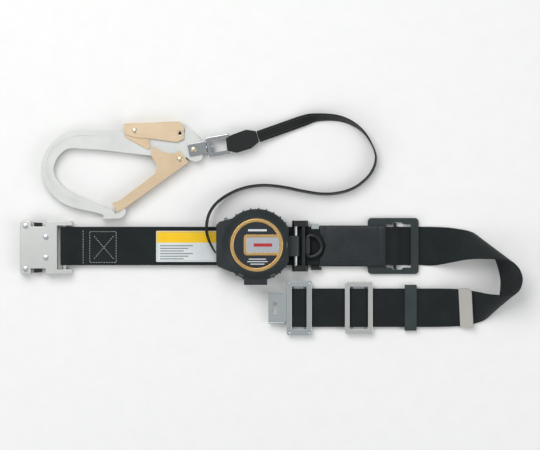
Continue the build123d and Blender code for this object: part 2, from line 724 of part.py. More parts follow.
save(hook_body, "hook_body")

gate_outline = [
    (-117.3, 101.1),
    (-105.9, 86.5),
    (-188.2, 27.2),
    (-194.8, 23.8),
    (-198.6, 20.4),
    (-205.3, 33.4),
    (-199.0, 35.2),
    (-190.4, 40.4),
    (-175.7, 51.7),
    (-149.3, 71.6),
    (-146.7, 81.2),
    (-149.3, 86.5),
    (-154.4, 94.1),
    (-154.4, 105.7),
    (-151.8, 106.8),
    (-140.3, 100.0),
    (-130.7, 97.4),
    (-123.7, 98.0),
]
gate_fold = [(-105.9, 86.5), (-188.2, 27.2), (-189.1, 28.5), (-106.8, 87.8)]
with BuildPart() as hook_gate:
    add(sheet_points(gate_outline, HOOK_Z + inner_gap, SHEET))
    add(sheet_points(gate_outline, HOOK_Z - inner_gap - SHEET, SHEET))
    add(sheet_points(gate_fold, HOOK_Z - inner_gap, 2 * inner_gap))
    with BuildSketch(Plane.XY.offset(HOOK_Z - inner_gap - SHEET)):
        with Locations(GATE_PIVOT):
            Circle(rivet_hole)
    extrude(amount=2 * (inner_gap + SHEET), mode=Mode.SUBTRACT)
save(hook_gate, "hook_gate")

lever_outline = [
    (-189.5, 136.6),
    (-117.7, 139.2),
    (-111.9, 131.8),
    (-112.0, 116.6),
    (-120.6, 112.3),
    (-157.0, 117.1),
    (-174.1, 118.4),
    (-189.5, 122.9),
]
lever_fold = [(-189.5, 136.6), (-117.7, 139.2), (-117.7, 137.9), (-189.5, 135.3)]
with BuildPart() as lock_lever:
    add(sheet_points(lever_outline, HOOK_Z + outer_gap, SHEET))
    add(sheet_points(lever_outline, HOOK_Z - outer_gap - SHEET, SHEET))
    add(sheet_points(lever_fold, HOOK_Z - outer_gap, 2 * outer_gap))
    with BuildSketch(Plane.XY.offset(HOOK_Z - outer_gap - SHEET)):
        with Locations(LEVER_PIVOT):
            Circle(rivet_hole)
    extrude(amount=2 * (outer_gap + SHEET), mode=Mode.SUBTRACT)
save(lock_lever, "lock_lever")

pawl_outline = [
    (-188.8, 119.1),
    (-158.6, 102.6),
    (-155.2, 105.6),
    (-157.8, 119.2),
    (-168.0, 132.6),
    (-184.0, 132.6),
]
with BuildPart() as lock_pawl:
    add(sheet_points(pawl_outline, HOOK_Z + inner_gap, SHEET))
    add(sheet_points(pawl_outline, HOOK_Z - inner_gap - SHEET, SHEET))
    with BuildSketch(Plane.XY.offset(HOOK_Z - inner_gap - SHEET)):
        with Locations(LEVER_PIVOT):
            Circle(rivet_hole)
    extrude(amount=2 * (inner_gap + SHEET), mode=Mode.SUBTRACT)
save(lock_pawl, "lock_pawl")


def domed_rivet(place, low_z, high_z, head_low, head_high):
    """A rivet through both sheets; a head of zero height is flush."""
    with BuildPart() as rivet:
        with BuildSketch(Plane.XY.offset(low_z)):
            with Locations(place):
                Circle(HOOK_RIVET_R)
        extrude(amount=high_z - low_z)
        with BuildSketch(Plane.XY.offset(high_z)):
            with Locations(place):
                Circle(HOOK_RIVET_HEAD)
        extrude(amount=head_high, taper=35)
        if head_low > 0:
            with BuildSketch(Plane.XY.offset(low_z)):
                with Locations(place):
                    Circle(HOOK_RIVET_HEAD)
            extrude(amount=-head_low, taper=35)
    return rivet.part


gate_face = inner_gap + SHEET
lever_face = outer_gap + SHEET
clevis_face = inner_gap + CLEVIS_WALL
with BuildPart() as gate_rivet:
    add(domed_rivet(GATE_PIVOT, HOOK_Z - gate_face, HOOK_Z + gate_face, 1.0, 1.0))
save(gate_rivet, "gate_rivet")

with BuildPart() as lever_rivet:
    add(domed_rivet(LEVER_PIVOT, HOOK_Z - lever_face, HOOK_Z + lever_face, 0, 1.0))
save(lever_rivet, "lever_rivet")

with BuildPart() as clevis_rivet:
    add(domed_rivet(CLEVIS_PIVOT, HOOK_Z - clevis_face, HOOK_Z + clevis_face, 0.7, 1.0))
save(clevis_rivet, "clevis_rivet")

torsion_r = 3.4
torsion_length = 3.2
with BuildPart() as gate_spring:
    add(spring((*GATE_PIVOT, HOOK_Z - torsion_length / 2), (0, 0, 1), torsion_r, 0.9, 1.1, torsion_length))
save(gate_spring, "gate_spring")

with BuildPart() as lever_spring:
    add(spring((*LEVER_PIVOT, HOOK_Z - torsion_length / 2), (0, 0, 1), torsion_r, 0.9, 1.1, torsion_length))
save(lever_spring, "lever_spring")

# ====================================== swivel =============================================
web_end = CLEVIS_WEB + CLEVIS_WEB_THICK
with BuildPart() as swivel_clevis:
    with BuildSketch(swivel_plane.offset(-clevis_face)):
        with Locations(((web_end - CLEVIS_BACK) / 2, 0)):
            RectangleRounded(web_end + CLEVIS_BACK, CLEVIS_WIDTH, 2.4)
    extrude(amount=2 * clevis_face)
    with BuildSketch(swivel_plane.offset(-inner_gap)):
        with Locations(((CLEVIS_WEB - CLEVIS_BACK) / 2 - 2, 0)):
            Rectangle(CLEVIS_WEB + CLEVIS_BACK + 4, CLEVIS_WIDTH + 2)
    extrude(amount=2 * inner_gap, mode=Mode.SUBTRACT)
    with BuildSketch(swivel_plane.offset(-clevis_face)):
        Circle(rivet_hole)
    extrude(amount=2 * clevis_face, mode=Mode.SUBTRACT)
    bolt_plane = Plane(origin=swivel_plane.origin, x_dir=(0, 0, 1), z_dir=swivel_dir)
    with BuildSketch(bolt_plane.offset(CLEVIS_WEB - 1)):
        Circle(BOLT_R + SHAFT_FIT)
    extrude(amount=CLEVIS_WEB_THICK + 2, mode=Mode.SUBTRACT)
save(swivel_clevis, "swivel_clevis")

eye_mid = EYE_START + EYE_LENGTH / 2
with BuildPart() as swivel_eye:
    with BuildSketch(swivel_plane.offset(-EYE_THICK / 2)):
        with Locations((eye_mid, 0)):
            RectangleRounded(EYE_LENGTH, EYE_WIDTH, 3.0)
            RectangleRounded(EYE_LENGTH - 2 * EYE_BAR, EYE_WIDTH - 2 * EYE_BAR, 1.5, mode=Mode.SUBTRACT)
    extrude(amount=EYE_THICK)
    fillet(swivel_eye.faces().filter_by(Axis.Z).sort_by(Axis.Z)[-1].outer_wire().edges(), radius=1.4)
    fillet(swivel_eye.faces().filter_by(Axis.Z).sort_by(Axis.Z)[0].outer_wire().edges(), radius=1.4)
    with BuildSketch(bolt_plane.offset(EYE_START - 1)):
        Circle(BOLT_R + SHAFT_FIT)
    extrude(amount=EYE_BAR + 2, mode=Mode.SUBTRACT)
save(swivel_eye, "swivel_eye")

bolt_head_start = EYE_START + EYE_BAR + 0.2
with BuildPart() as swivel_bolt:
    with BuildSketch(bolt_plane.offset(CLEVIS_WEB - 1.8)):
        Circle(4.4)
    extrude(amount=1.6)
    with BuildSketch(bolt_plane.offset(CLEVIS_WEB - 1.8)):
        Circle(BOLT_R)
    extrude(amount=bolt_head_start - CLEVIS_WEB + 2.3)
    with BuildSketch(bolt_plane.offset(bolt_head_start)):
        RegularPolygon(BOLT_HEAD / 2, 6, major_radius=False)
    extrude(amount=4.4)
save(swivel_bolt, "swivel_bolt")

# ====================================== lanyard ============================================
with BuildPart() as lanyard_end_sleeve:
    with BuildSketch(Plane.XY.offset(HOOK_Z - 6.2)):
        with BuildLine():
            Polyline(
                (-57.6, 117.2),
                (-50.4, 121.8),
                (-31.5, 128.6),
                (-18.5, 127.0),
                (-14.6, 113.1),
                (-24.5, 104.7),
                (-43.5, 98.8),
                (-55.6, 101.4),
                close=True,
            )
        make_face()
    extrude(amount=12.4)
    fillet(lanyard_end_sleeve.edges().filter_by(Axis.Z), radius=2.0)
    with BuildSketch(swivel_plane.offset(-EYE_THICK / 2 - FIT)):
        with Locations((eye_mid, 0)):
            Rectangle(EYE_LENGTH + 2 * FIT, EYE_WIDTH + 2 * FIT)
            inner_length = EYE_LENGTH - 2 * EYE_BAR - 2 * FIT
            RectangleRounded(inner_length, EYE_WIDTH - 2 * EYE_BAR - 2 * FIT, 2.0, mode=Mode.SUBTRACT)
    extrude(amount=EYE_THICK + 2 * FIT, mode=Mode.SUBTRACT)
save(lanyard_end_sleeve, "lanyard_end_sleeve")


def rolled(x, y, heading, roll):
    """One ruling of the ribbon on the table: its centre, its heading and its roll in degrees."""
    across = Vector(0, 1, 0).rotate(Axis.Z, heading) * math.cos(math.radians(roll))
    across += Vector(0, 0, 1) * math.sin(math.radians(roll))
    lift = RIBBON_WIDTH / 2 * math.sin(math.radians(roll))
    lift += RIBBON_THICK / 2 * math.cos(math.radians(roll))
    middle = Vector(x, y, lift)
    return (middle - across * RIBBON_WIDTH / 2, middle + across * RIBBON_WIDTH / 2)


sewn_rise = Vector(0, 0, HOOK_Z - RIBBON_THICK)
flat_a, flat_b = rolled(-15.4, 119.8, 18, 0)
step_a, step_b = rolled(19.3, 132.2, 20, 0)
sewn_rulings = [
    (flat_a + sewn_rise, flat_b + sewn_rise),
    (step_a + Vector(0, 0, 1.4), step_b + Vector(0, 0, 1.4)),
    tuple(point + Vector(0, 0, 1.0) for point in rolled(47.0, 142.2, 17, 14)),
]
twist_rulings = [
    tuple(point + Vector(0, 0, 1.0) for point in rolled(47.0, 142.2, 17, 14)),
    rolled(60.0, 145.4, 9, 50),
    rolled(85.0, 145.2, -9, 61),
    rolled(104.0, 139.6, -24, 72),
    rolled(120.0, 128.6, -43, 84),
    rolled(130.0, 115.3, -62, 90),
]
sewn_end = Vector(1, 0, 0).rotate(Axis.Z, 17)
edge_route = [
    (130.0, 115.3),
    (139.6, 94.4),
    (133.6, 73.6),
    (116.6, 56.6),
    (97.6, 47.6),
    (71.3, 44.2),
    (44.0, 48.4),
    (18.0, 54.4),
    (-10.6, 57.4),
    (-39.8, 52.4),
    (-64.6, 39.0),
    (-78.4, 23.6),
    (-83.4, 4.0),
    (-80.4, -16.0),
    (REEL_X - SNOUT - 1.0, -31.6),
]
corners = [Vector(*point) for point in edge_route]
runs = [(after - before).length for before, after in zip(corners, corners[1:])]
edge_radii = []
for index in range(1, len(corners) - 1):
    turn = (corners[index] - corners[index - 1]).get_angle(corners[index + 1] - corners[index])
    shorter = min(runs[index - 1], runs[index])
    edge_radii.append(0.45 * shorter / math.tan(math.radians(turn / 2)))
print("ribbon runs", [round(run, 1) for run in runs])
print("ribbon radii", [round(radius, 1) for radius in edge_radii])

rise_start_y = 44.0
rise_end_y = 9.0
exit_low = RIBBON_EXIT_Z - RIBBON_WIDTH / 2
with BuildPart() as edge_ribbon:
    with BuildSketch(Plane.XY):
        with BuildLine() as edge_line:
            FilletPolyline(*edge_route, radius=edge_radii)
        trace(lines=edge_line.line, line_width=RIBBON_THICK)
    extrude(amount=exit_low + RIBBON_WIDTH)
    with BuildSketch(Plane.YZ.offset(-100)):
        with BuildLine():
            Polyline(
                (140, 0),
                (rise_start_y, 0),
                (rise_end_y, exit_low),
                (-50, exit_low),
                (-50, exit_low + RIBBON_WIDTH),
                (rise_end_y, exit_low + RIBBON_WIDTH),
                (rise_start_y, RIBBON_WIDTH),
                (140, RIBBON_WIDTH),
                close=True,
            )
        make_face()
    extrude(amount=260, mode=Mode.INTERSECT)

with BuildPart() as lanyard_ribbon:
    add(ruled_strap(sewn_rulings, 2 * RIBBON_THICK, last=sewn_end))
    add(ruled_strap(twist_rulings, RIBBON_THICK, first=sewn_end, last=Vector(1, 0, 0).rotate(Axis.Z, -62)))
    add(edge_ribbon.part)
save(lanyard_ribbon, "lanyard_ribbon")
ribbon_length = sum(edge.length for edge in edge_line.line.edges())
for rulings in (sewn_rulings, twist_rulings):
    mids = [(a + b) / 2 for a, b in rulings]
    ribbon_length += sum((q - p).length for p, q in zip(mids, mids[1:]))
print("free ribbon length", round(ribbon_length, 1))
print("ribbon volume over section", round(lanyard_ribbon.part.volume / RIBBON_WIDTH / RIBBON_THICK, 1))

# ======================================= reel ==============================================
split_z = REEL_BACK_Z + SPLIT
bevel_z = REEL_BACK_Z + BEVEL_START
snout_points = [
    (-30.0, 34.6),
    (-34.2, 33.8),
    (-48.4, 29.8),
    (-SNOUT, 25.6),
    (-SNOUT, -24.4),
    (-50.0, -27.8),
    (-33.6, -34.8),
    (-30.0, -35.4),
]
snout_fence = (152, 212)
window_angles = (242.0, 298.0)
window_mid_r = 46.2
screw_r = 43.4
screw_angles = (62.0, 118.0, 242.0, 298.0)
slot_x = -43.0
slot_y = -15.2
slot_length = 20.0
slot_width = 13.0
cavity_top = REEL_BACK_Z + 26.4


def reel_plane(z):
    """The plane of the reel at a height, with its origin on the drum's axis."""
    return Plane(origin=(REEL_X, REEL_Y, z))


def reel_outline():
    """The outside of the case: drum, snout, flat side, foot and grip teeth."""
    with BuildSketch(Plane.XY) as outline:
        Circle(REEL_RADIUS)
        with BuildLine():
            Polyline(*snout_points, close=True)
        make_face()
        with Locations((-1.4, -REEL_RADIUS)):
            Rectangle(30.0, 10.0)
        for index in range(TOOTH_COUNT):
            angle = 360.0 * index / TOOTH_COUNT
            if not snout_fence[0] < angle < snout_fence[1]:
                with PolarLocations(TOOTH_TIP_R - 1.6, 1, start_angle=angle):
                    Trapezoid(3.2, 2.4, 62, rotation=-90)
        with Locations((REEL_FLAT + 10, 0)):
            Rectangle(20.0, 2 * REEL_RADIUS + 10, mode=Mode.SUBTRACT)
    return outline.sketch


with BuildPart() as reel_rear_shell:
    with BuildSketch(reel_plane(REEL_BACK_Z)):
        add(reel_outline())
    extrude(amount=SPLIT)
    with BuildSketch(reel_plane(REEL_BACK_Z + REEL_WALL)):
        Circle(CAVITY_R)
        with Locations((slot_x, slot_y)):
            Rectangle(slot_length, slot_width)
    extrude(amount=SPLIT, mode=Mode.SUBTRACT)
    with BuildSketch(reel_plane(REEL_BACK_Z)):
        Circle(SHAFT_R + SHAFT_FIT)
    extrude(amount=REEL_WALL, mode=Mode.SUBTRACT)
    for angle in screw_angles:
        with BuildSketch(reel_plane(REEL_BACK_Z)):
            with PolarLocations(screw_r, 1, start_angle=angle):
                Circle(1.3 + SHAFT_FIT)
        extrude(amount=SPLIT, mode=Mode.SUBTRACT)
        with BuildSketch(reel_plane(REEL_BACK_Z)):
            with PolarLocations(screw_r, 1, start_angle=angle):
                Circle(2.7)
        extrude(amount=2.0, mode=Mode.SUBTRACT)
save(reel_rear_shell, "reel_rear_shell")

button_x = -40.0
button_z = REEL_BACK_Z + 19.5
button_tip_y = 35.6
button_plane = Plane(origin=(REEL_X + button_x, REEL_Y, button_z), x_dir=(1, 0, 0), z_dir=(0, 1, 0))
button_foot_y = 22.0
bore_start_y = 17.5
bevel_height = REEL_DEPTH - BEVEL_START
bevel_foot_r = 44.4
bevel_angle = math.degrees(math.atan((bevel_foot_r - BEVEL_TOP_R) / bevel_height))
dish_depth = 1.4
with BuildPart() as reel_front_shell:
    with BuildSketch(reel_plane(split_z)):
        add(reel_outline())
    extrude(amount=BEVEL_START - SPLIT)
    with BuildSketch(reel_plane(bevel_z)):
        Circle(bevel_foot_r)
        with Locations((REEL_FLAT + 10, 0)):
            Rectangle(20.0, 2 * REEL_RADIUS, mode=Mode.SUBTRACT)
    extrude(amount=bevel_height, taper=bevel_angle)
    with BuildSketch(reel_plane(split_z)):
        Circle(CAVITY_R)
    extrude(amount=cavity_top - split_z, mode=Mode.SUBTRACT)
    with BuildSketch(reel_plane(split_z)):
        with Locations((slot_x, slot_y)):
            Rectangle(slot_length, slot_width)
    extrude(amount=ROLL_Z + RIBBON_WIDTH + FIT - split_z, mode=Mode.SUBTRACT)
    with BuildSketch(reel_plane(REEL_TOP_Z - dish_depth)):
        Circle(BEZEL_OUTER + 0.1)
    extrude(amount=dish_depth, mode=Mode.SUBTRACT)
    for angle in window_angles:
        with BuildSketch(reel_plane(bevel_z - 3.0)):
            with PolarLocations(window_mid_r, 1, start_angle=angle):
                Rectangle(9.4, 9.0)
        extrude(amount=bevel_height + 3.0, mode=Mode.SUBTRACT)
    for angle in screw_angles:
        with BuildSketch(reel_plane(split_z)):
            with PolarLocations(screw_r, 1, start_angle=angle):
                Circle(1.3 + SHAFT_FIT)
        extrude(amount=5.0, mode=Mode.SUBTRACT)
    with BuildSketch(button_plane.offset(bore_start_y)):
        Circle(BUTTON_R + 0.15)
    extrude(amount=22.0, mode=Mode.SUBTRACT)
save(reel_front_shell, "reel_front_shell")

with BuildPart() as case_screws:
    for angle in screw_angles:
        with BuildSketch(reel_plane(REEL_BACK_Z + 0.2)):
            with PolarLocations(screw_r, 1, start_angle=angle):
                Circle(2.5)
        extrude(amount=1.8)
        with BuildSketch(reel_plane(REEL_BACK_Z + 0.2)):
            with PolarLocations(screw_r, 1, start_angle=angle):
                Circle(1.3)
        extrude(amount=SPLIT + 3.6)
save(case_screws, "case_screws")

dish_z = REEL_TOP_Z - dish_depth
with BuildPart() as label_disc:
    with BuildSketch(reel_plane(dish_z)):
        Circle(BEZEL_INNER - 0.05)
    extrude(amount=0.8)
save(label_disc, "label_disc")

with BuildPart() as bezel_ring:
    with BuildSketch(reel_plane(dish_z)):
        Circle(BEZEL_OUTER)
        Circle(BEZEL_INNER, mode=Mode.SUBTRACT)
    extrude(amount=dish_depth + 0.9)
    chamfer(bezel_ring.faces().sort_by(Axis.Z)[-1].edges(), length=0.8)
save(bezel_ring, "bezel_ring")

badge_z = dish_z + 0.8


def badge_outline(rim):
    """The badge's outline, a rounded tab that runs out under the ring; rim insets it."""
    with BuildSketch(Plane.XY) as outline:
        with Locations((BADGE_LEFT + 25.0, 0)):
            RectangleRounded(50.0 - 2 * rim, 2 * (BADGE_HALF - rim), 4.6 - rim)
        Circle(BEZEL_INNER - 0.05, mode=Mode.INTERSECT)
    return outline.sketch


with BuildPart() as badge_frame:
    with BuildSketch(reel_plane(badge_z)):
        add(badge_outline(0.0))
        add(badge_outline(BADGE_RIM), mode=Mode.SUBTRACT)
    extrude(amount=1.1)
save(badge_frame, "badge_frame")

with BuildPart() as badge_plate:
    with BuildSketch(reel_plane(badge_z)):
        add(badge_outline(BADGE_RIM + 0.05))
    extrude(amount=0.7)
save(badge_plate, "badge_plate")

flange_top_z = ROLL_Z + RIBBON_WIDTH + FIT
drum_top_z = flange_top_z + FLANGE
with BuildPart() as drum:
    with BuildSketch(reel_plane(DRUM_Z)):
        Circle(DRUM_FLANGE_R)
    extrude(amount=FLANGE)
    with BuildSketch(reel_plane(DRUM_Z)):
        Circle(DRUM_HUB_R)
    extrude(amount=drum_top_z - DRUM_Z)
    with BuildSketch(reel_plane(flange_top_z)):
        Circle(DRUM_FLANGE_R)
    extrude(amount=FLANGE)
    with BuildSketch(reel_plane(DRUM_Z)):
        Circle(DRUM_HUB_R - 2.0)
    extrude(amount=flange_top_z - DRUM_Z, mode=Mode.SUBTRACT)
    with BuildSketch(reel_plane(flange_top_z)):
        Circle(SHAFT_R + SHAFT_FIT)
    extrude(amount=FLANGE, mode=Mode.SUBTRACT)
save(drum, "drum")

with BuildPart() as drum_shaft:
    with BuildSketch(reel_plane(REEL_BACK_Z + 0.2)):
        Circle(SHAFT_R)
    extrude(amount=cavity_top - REEL_BACK_Z - 0.2)
save(drum_shaft, "drum_shaft")

spring_turns = 7
spring_pitch = 1.5
spring_inner_r = SHAFT_R + 0.7
with BuildPart() as mainspring:
    with BuildSketch(reel_plane(DRUM_Z + 1.0)):
        with BuildLine() as spiral:
            for turn in range(2 * spring_turns):
                arc_r = spring_inner_r + spring_pitch / 4 + turn * spring_pitch / 2
                shift = spring_pitch / 4 if turn % 2 else -spring_pitch / 4
                CenterArc((shift, 0), arc_r, 180.0 * (turn % 2), 180.0)
        trace(lines=spiral.line, line_width=0.45)
    extrude(amount=RIBBON_WIDTH - 3.0)
save(mainspring, "mainspring")

with BuildPart() as lanyard_roll:
    with BuildSketch(reel_plane(ROLL_Z)):
        Circle(ROLL_R)
        Circle(DRUM_HUB_R, mode=Mode.SUBTRACT)
    extrude(amount=RIBBON_WIDTH)
save(lanyard_roll, "lanyard_roll")

lead_start = Vector(-SNOUT + 0.2, -10.9)
lead_reach = lead_start.length
lead_r = ROLL_R + RIBBON_THICK / 2 + 0.25
lead_angle = 180 + math.degrees(math.atan2(-lead_start.Y, -lead_start.X))
tangent_angle = lead_angle + math.degrees(math.acos(lead_r / lead_reach))
lead_end = Vector(lead_r, 0).rotate(Axis.Z, tangent_angle)
with BuildPart() as lanyard_lead:
    with BuildSketch(reel_plane(ROLL_Z)):
        with BuildLine() as lead_line:
            Line(lead_start, lead_end)
        trace(lines=lead_line.line, line_width=RIBBON_THICK)
    extrude(amount=RIBBON_WIDTH)
save(lanyard_lead, "lanyard_lead")

lead_run = (lead_end - lead_start).normalized()
lead_side = Vector(-lead_run.Y, lead_run.X, 0)
roller_mid = lead_start + lead_run * 3.2
roller_r = 1.2
with BuildPart() as exit_rollers:
    with BuildSketch(reel_plane(REEL_BACK_Z + REEL_WALL)):
        for side in (1, -1):
            place = roller_mid + lead_side * side * (RIBBON_THICK / 2 + roller_r + 0.3)
            with Locations((place.X, place.Y)):
                Circle(roller_r)
    extrude(amount=ROLL_Z + RIBBON_WIDTH + FIT - REEL_BACK_Z - REEL_WALL)
save(exit_rollers, "exit_rollers")

ratchet_z = drum_top_z + FIT
ratchet_height = cavity_top - ratchet_z
with BuildPart() as ratchet_ring:
    with BuildSketch(reel_plane(ratchet_z)):
        Circle(RATCHET_R)
        Circle(RATCHET_R - 1.2, mode=Mode.SUBTRACT)
        with PolarLocations((RATCHET_R + RATCHET_TIP_R) / 2 - 0.2, RATCHET_TEETH, start_angle=15):
            Rectangle(RATCHET_R - RATCHET_TIP_R - 0.4, 5.0)
    extrude(amount=ratchet_height)
save(ratchet_ring, "ratchet_ring")

pawl_pivot_r = 24.0
pawl_pin_r = 1.5
for index, pawl_name in enumerate(("lock_pawl_front", "lock_pawl_back")):
    outward = Vector(1, 0, 0).rotate(Axis.Z, 90 + 180 * index)
    pawl_place = Vector(REEL_X, REEL_Y, ratchet_z) + outward * pawl_pivot_r
    with BuildPart() as pawl:
        with BuildSketch(Plane(origin=pawl_place, x_dir=outward, z_dir=(0, 0, 1))):
            with BuildLine():
                Polyline(
                    (-3.4, -3.2),
                    (3.6, -3.2),
                    (7.4, 6.0),
                    (5.2, 19.4),
                    (2.4, 20.2),
                    (0.8, 9.4),
                    (-3.4, 3.2),
                    close=True,
                )
            make_face()
            Circle(pawl_pin_r + SHAFT_FIT, mode=Mode.SUBTRACT)
        extrude(amount=PAWL_THICK)
    save(pawl, pawl_name)

with BuildPart() as pawl_pins:
    for index in range(2):
        with BuildSketch(reel_plane(drum_top_z)):
            with PolarLocations(pawl_pivot_r, 1, start_angle=90 + 180 * index):
                Circle(pawl_pin_r)
        extrude(amount=PAWL_THICK + FIT + 0.4)
save(pawl_pins, "pawl_pins")

with BuildPart() as retract_stop_button:
    with BuildSketch(button_plane.offset(button_foot_y)):
        Circle(BUTTON_R)
    extrude(amount=button_tip_y - button_foot_y)
    fillet(retract_stop_button.faces().sort_by(Axis.Y)[-1].edges(), radius=1.2)
save(retract_stop_button, "retract_stop_button")

with BuildPart() as stop_spring:
    spring_foot = (REEL_X + button_x, REEL_Y + bore_start_y + 0.4, button_z)
    add(spring(spring_foot, (0, 1, 0), 1.6, 0.5, 1.0, 1.6))
save(stop_spring, "stop_spring")

# ================================== hinge and bracket ======================================
knuckle_length = 26.4
with BuildPart() as hinge_leaf:
    with BuildSketch(Plane.XZ.offset(-UPPER_Y)):
        with Locations((PIN_X, PIN_Z)):
            Circle(KNUCKLE_R)
        with Locations(((PIN_X + REEL_X + REEL_FLAT) / 2 + 0.05, PIN_Z)):
            Rectangle(PIN_X - REEL_X - REEL_FLAT - 0.1, 2 * KNUCKLE_R)
        with Locations((PIN_X, PIN_Z)):
            Circle(PIN_R + SHAFT_FIT, mode=Mode.SUBTRACT)
    extrude(amount=knuckle_length / 2, both=True)
save(hinge_leaf, "hinge_leaf")

with BuildPart() as hinge_pin:
    with BuildSketch(Plane.XZ.offset(-UPPER_Y)):
        with Locations((PIN_X, PIN_Z)):
            Circle(PIN_R)
    extrude(amount=BRACKET_LENGTH / 2 - 1.0, both=True)
save(hinge_pin, "hinge_pin")

bracket_length_x = BRACKET_RIGHT_X - BRACKET_LEFT_X
bracket_mid_x = (BRACKET_LEFT_X + BRACKET_RIGHT_X) / 2
cheek_inner = HALF_WEB + 0.5
cheek = BRACKET_LENGTH / 2 - cheek_inner
cheek_top = PIN_Z + 5.0
bracket_back_z = UPPER_Z - WEB_THICK / 2 - 0.4 - BRACKET_PLATE
front_bar_low = UPPER_FACE + 1.0
front_bar_high = cheek_top - 1.6
barrel_r = D_ROD_R + 1.7
barrel_length = 20.0
with BuildPart() as belt_bracket:
    with BuildSketch(Plane.XY.offset(bracket_back_z)):
        with Locations((bracket_mid_x, UPPER_Y)):
            Rectangle(bracket_length_x, BRACKET_LENGTH - 2.0)
    extrude(amount=BRACKET_PLATE)
    for side in (1, -1):
        with BuildSketch(Plane.XZ.offset(-UPPER_Y - side * (cheek_inner + cheek / 2))):
            with Locations((bracket_mid_x, cheek_top / 2)):
                RectangleRounded(bracket_length_x, cheek_top, 4.0)
        extrude(amount=cheek / 2, both=True)
    with BuildSketch(Plane.XZ.offset(-UPPER_Y)):
        with Locations((FRONT_BAR_X + FRONT_BAR_WIDTH / 2, (front_bar_low + front_bar_high) / 2)):
            RectangleRounded(FRONT_BAR_WIDTH, front_bar_high - front_bar_low, 1.5)
    extrude(amount=cheek_inner + 1.0, both=True)
    with BuildSketch(Plane.XZ.offset(-UPPER_Y)):
        with Locations((D_BAR_X, D_Z)):
            Circle(barrel_r)
    extrude(amount=barrel_length / 2, both=True)
    with BuildSketch(Plane.XZ.offset(-UPPER_Y)):
        with Locations((D_BAR_X, D_Z)):
            Circle(D_ROD_R + SHAFT_FIT)
        with Locations((PIN_X, PIN_Z)):
            Circle(PIN_R + SHAFT_FIT)
    extrude(amount=BRACKET_LENGTH / 2 - 1.0, both=True, mode=Mode.SUBTRACT)
save(belt_bracket, "belt_bracket")

d_corner = 3.6
with BuildPart() as d_ring:
    with BuildLine() as d_path:
        Line((D_BAR_X, UPPER_Y, D_Z), (D_BAR_X, UPPER_Y + D_BAR_HALF - d_corner, D_Z))
        ThreePointArc(
            (D_BAR_X, UPPER_Y + D_BAR_HALF - d_corner, D_Z),
            (D_BAR_X + d_corner * 0.293, UPPER_Y + D_BAR_HALF - d_corner * 0.293, D_Z),
            (D_BAR_X + d_corner, UPPER_Y + D_BAR_HALF, D_Z),
        )
        Line(
            (D_BAR_X + d_corner, UPPER_Y + D_BAR_HALF, D_Z),
            (D_BAR_X + D_NECK + 0.4, UPPER_Y + D_BAR_HALF, D_Z),
        )
        ThreePointArc(
            (D_BAR_X + D_NECK + 0.4, UPPER_Y + D_BAR_HALF, D_Z),
            (D_BAR_X + D_NECK + 0.4 + D_BAR_HALF * 0.7071, UPPER_Y + D_BAR_HALF * 0.7071, D_Z),
            (D_BAR_X + D_NECK + 0.4 + D_BAR_HALF, UPPER_Y, D_Z),
        )
    with BuildSketch(Plane(origin=(D_BAR_X, UPPER_Y, D_Z), x_dir=(1, 0, 0), z_dir=(0, 1, 0))):
        Circle(D_ROD_R)
    sweep(path=d_path.wires()[0])
    mirror(about=Plane.XZ.offset(-UPPER_Y))
save(d_ring, "d_ring")

stopper_left_x = 53.0
stopper_right_x = 66.9
stopper_low = bracket_back_z + 0.2
upper_low_edge = UPPER_Y - HALF_WEB
upper_high_edge = UPPER_Y + HALF_WEB
with BuildPart() as belt_stopper:
    with BuildSketch(Plane.XY.offset(stopper_low)):
        with Locations(((stopper_left_x + SLEEVE_LEFT_X - 0.4) / 2, UPPER_Y - 1.0)):
            Rectangle(SLEEVE_LEFT_X - 0.4 - stopper_left_x, WEB_WIDTH + 4.0)
        with Locations(((stopper_left_x + stopper_right_x) / 2, upper_low_edge - 4.3)):
            Rectangle(stopper_right_x - stopper_left_x, 4.0)
    extrude(amount=1.8)
    with BuildSketch(Plane.XY.offset(stopper_low)):
        with Locations(((stopper_left_x + stopper_right_x) / 2, upper_low_edge - 4.3)):
            Rectangle(stopper_right_x - stopper_left_x, 4.0)
    extrude(amount=6.0)
save(belt_stopper, "belt_stopper")

with BuildPart() as stopper_clip:
    with BuildSketch(Plane.YZ.offset(stopper_left_x + 0.6)):
        with BuildLine():
            Polyline(
                (upper_high_edge - 3.0, UPPER_FACE + 0.2),
                (upper_high_edge + 1.4, UPPER_FACE + 0.2),
                (upper_high_edge + 1.4, stopper_low),
                (upper_high_edge + 4.2, stopper_low),
                (upper_high_edge + 4.2, UPPER_FACE + 1.4),
                (upper_high_edge - 3.0, UPPER_FACE + 1.4),
                close=True,
            )
        make_face()
    extrude(amount=9.6)
save(stopper_clip, "stopper_clip")
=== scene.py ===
"""Looks of a self retracting lifeline: reel, ribbon lanyard, scaffold hook, belt and buckle.

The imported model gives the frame. Hard pieces are copied from it with broken edges, soft pieces
are modelled here, and everything gets a finish worked out from what it is made of.
"""
import json
import logging
import math
from collections.abc import Callable, Sequence
from dataclasses import dataclass, field
from enum import Enum

import bmesh
import bpy
from mathutils import Matrix, Vector


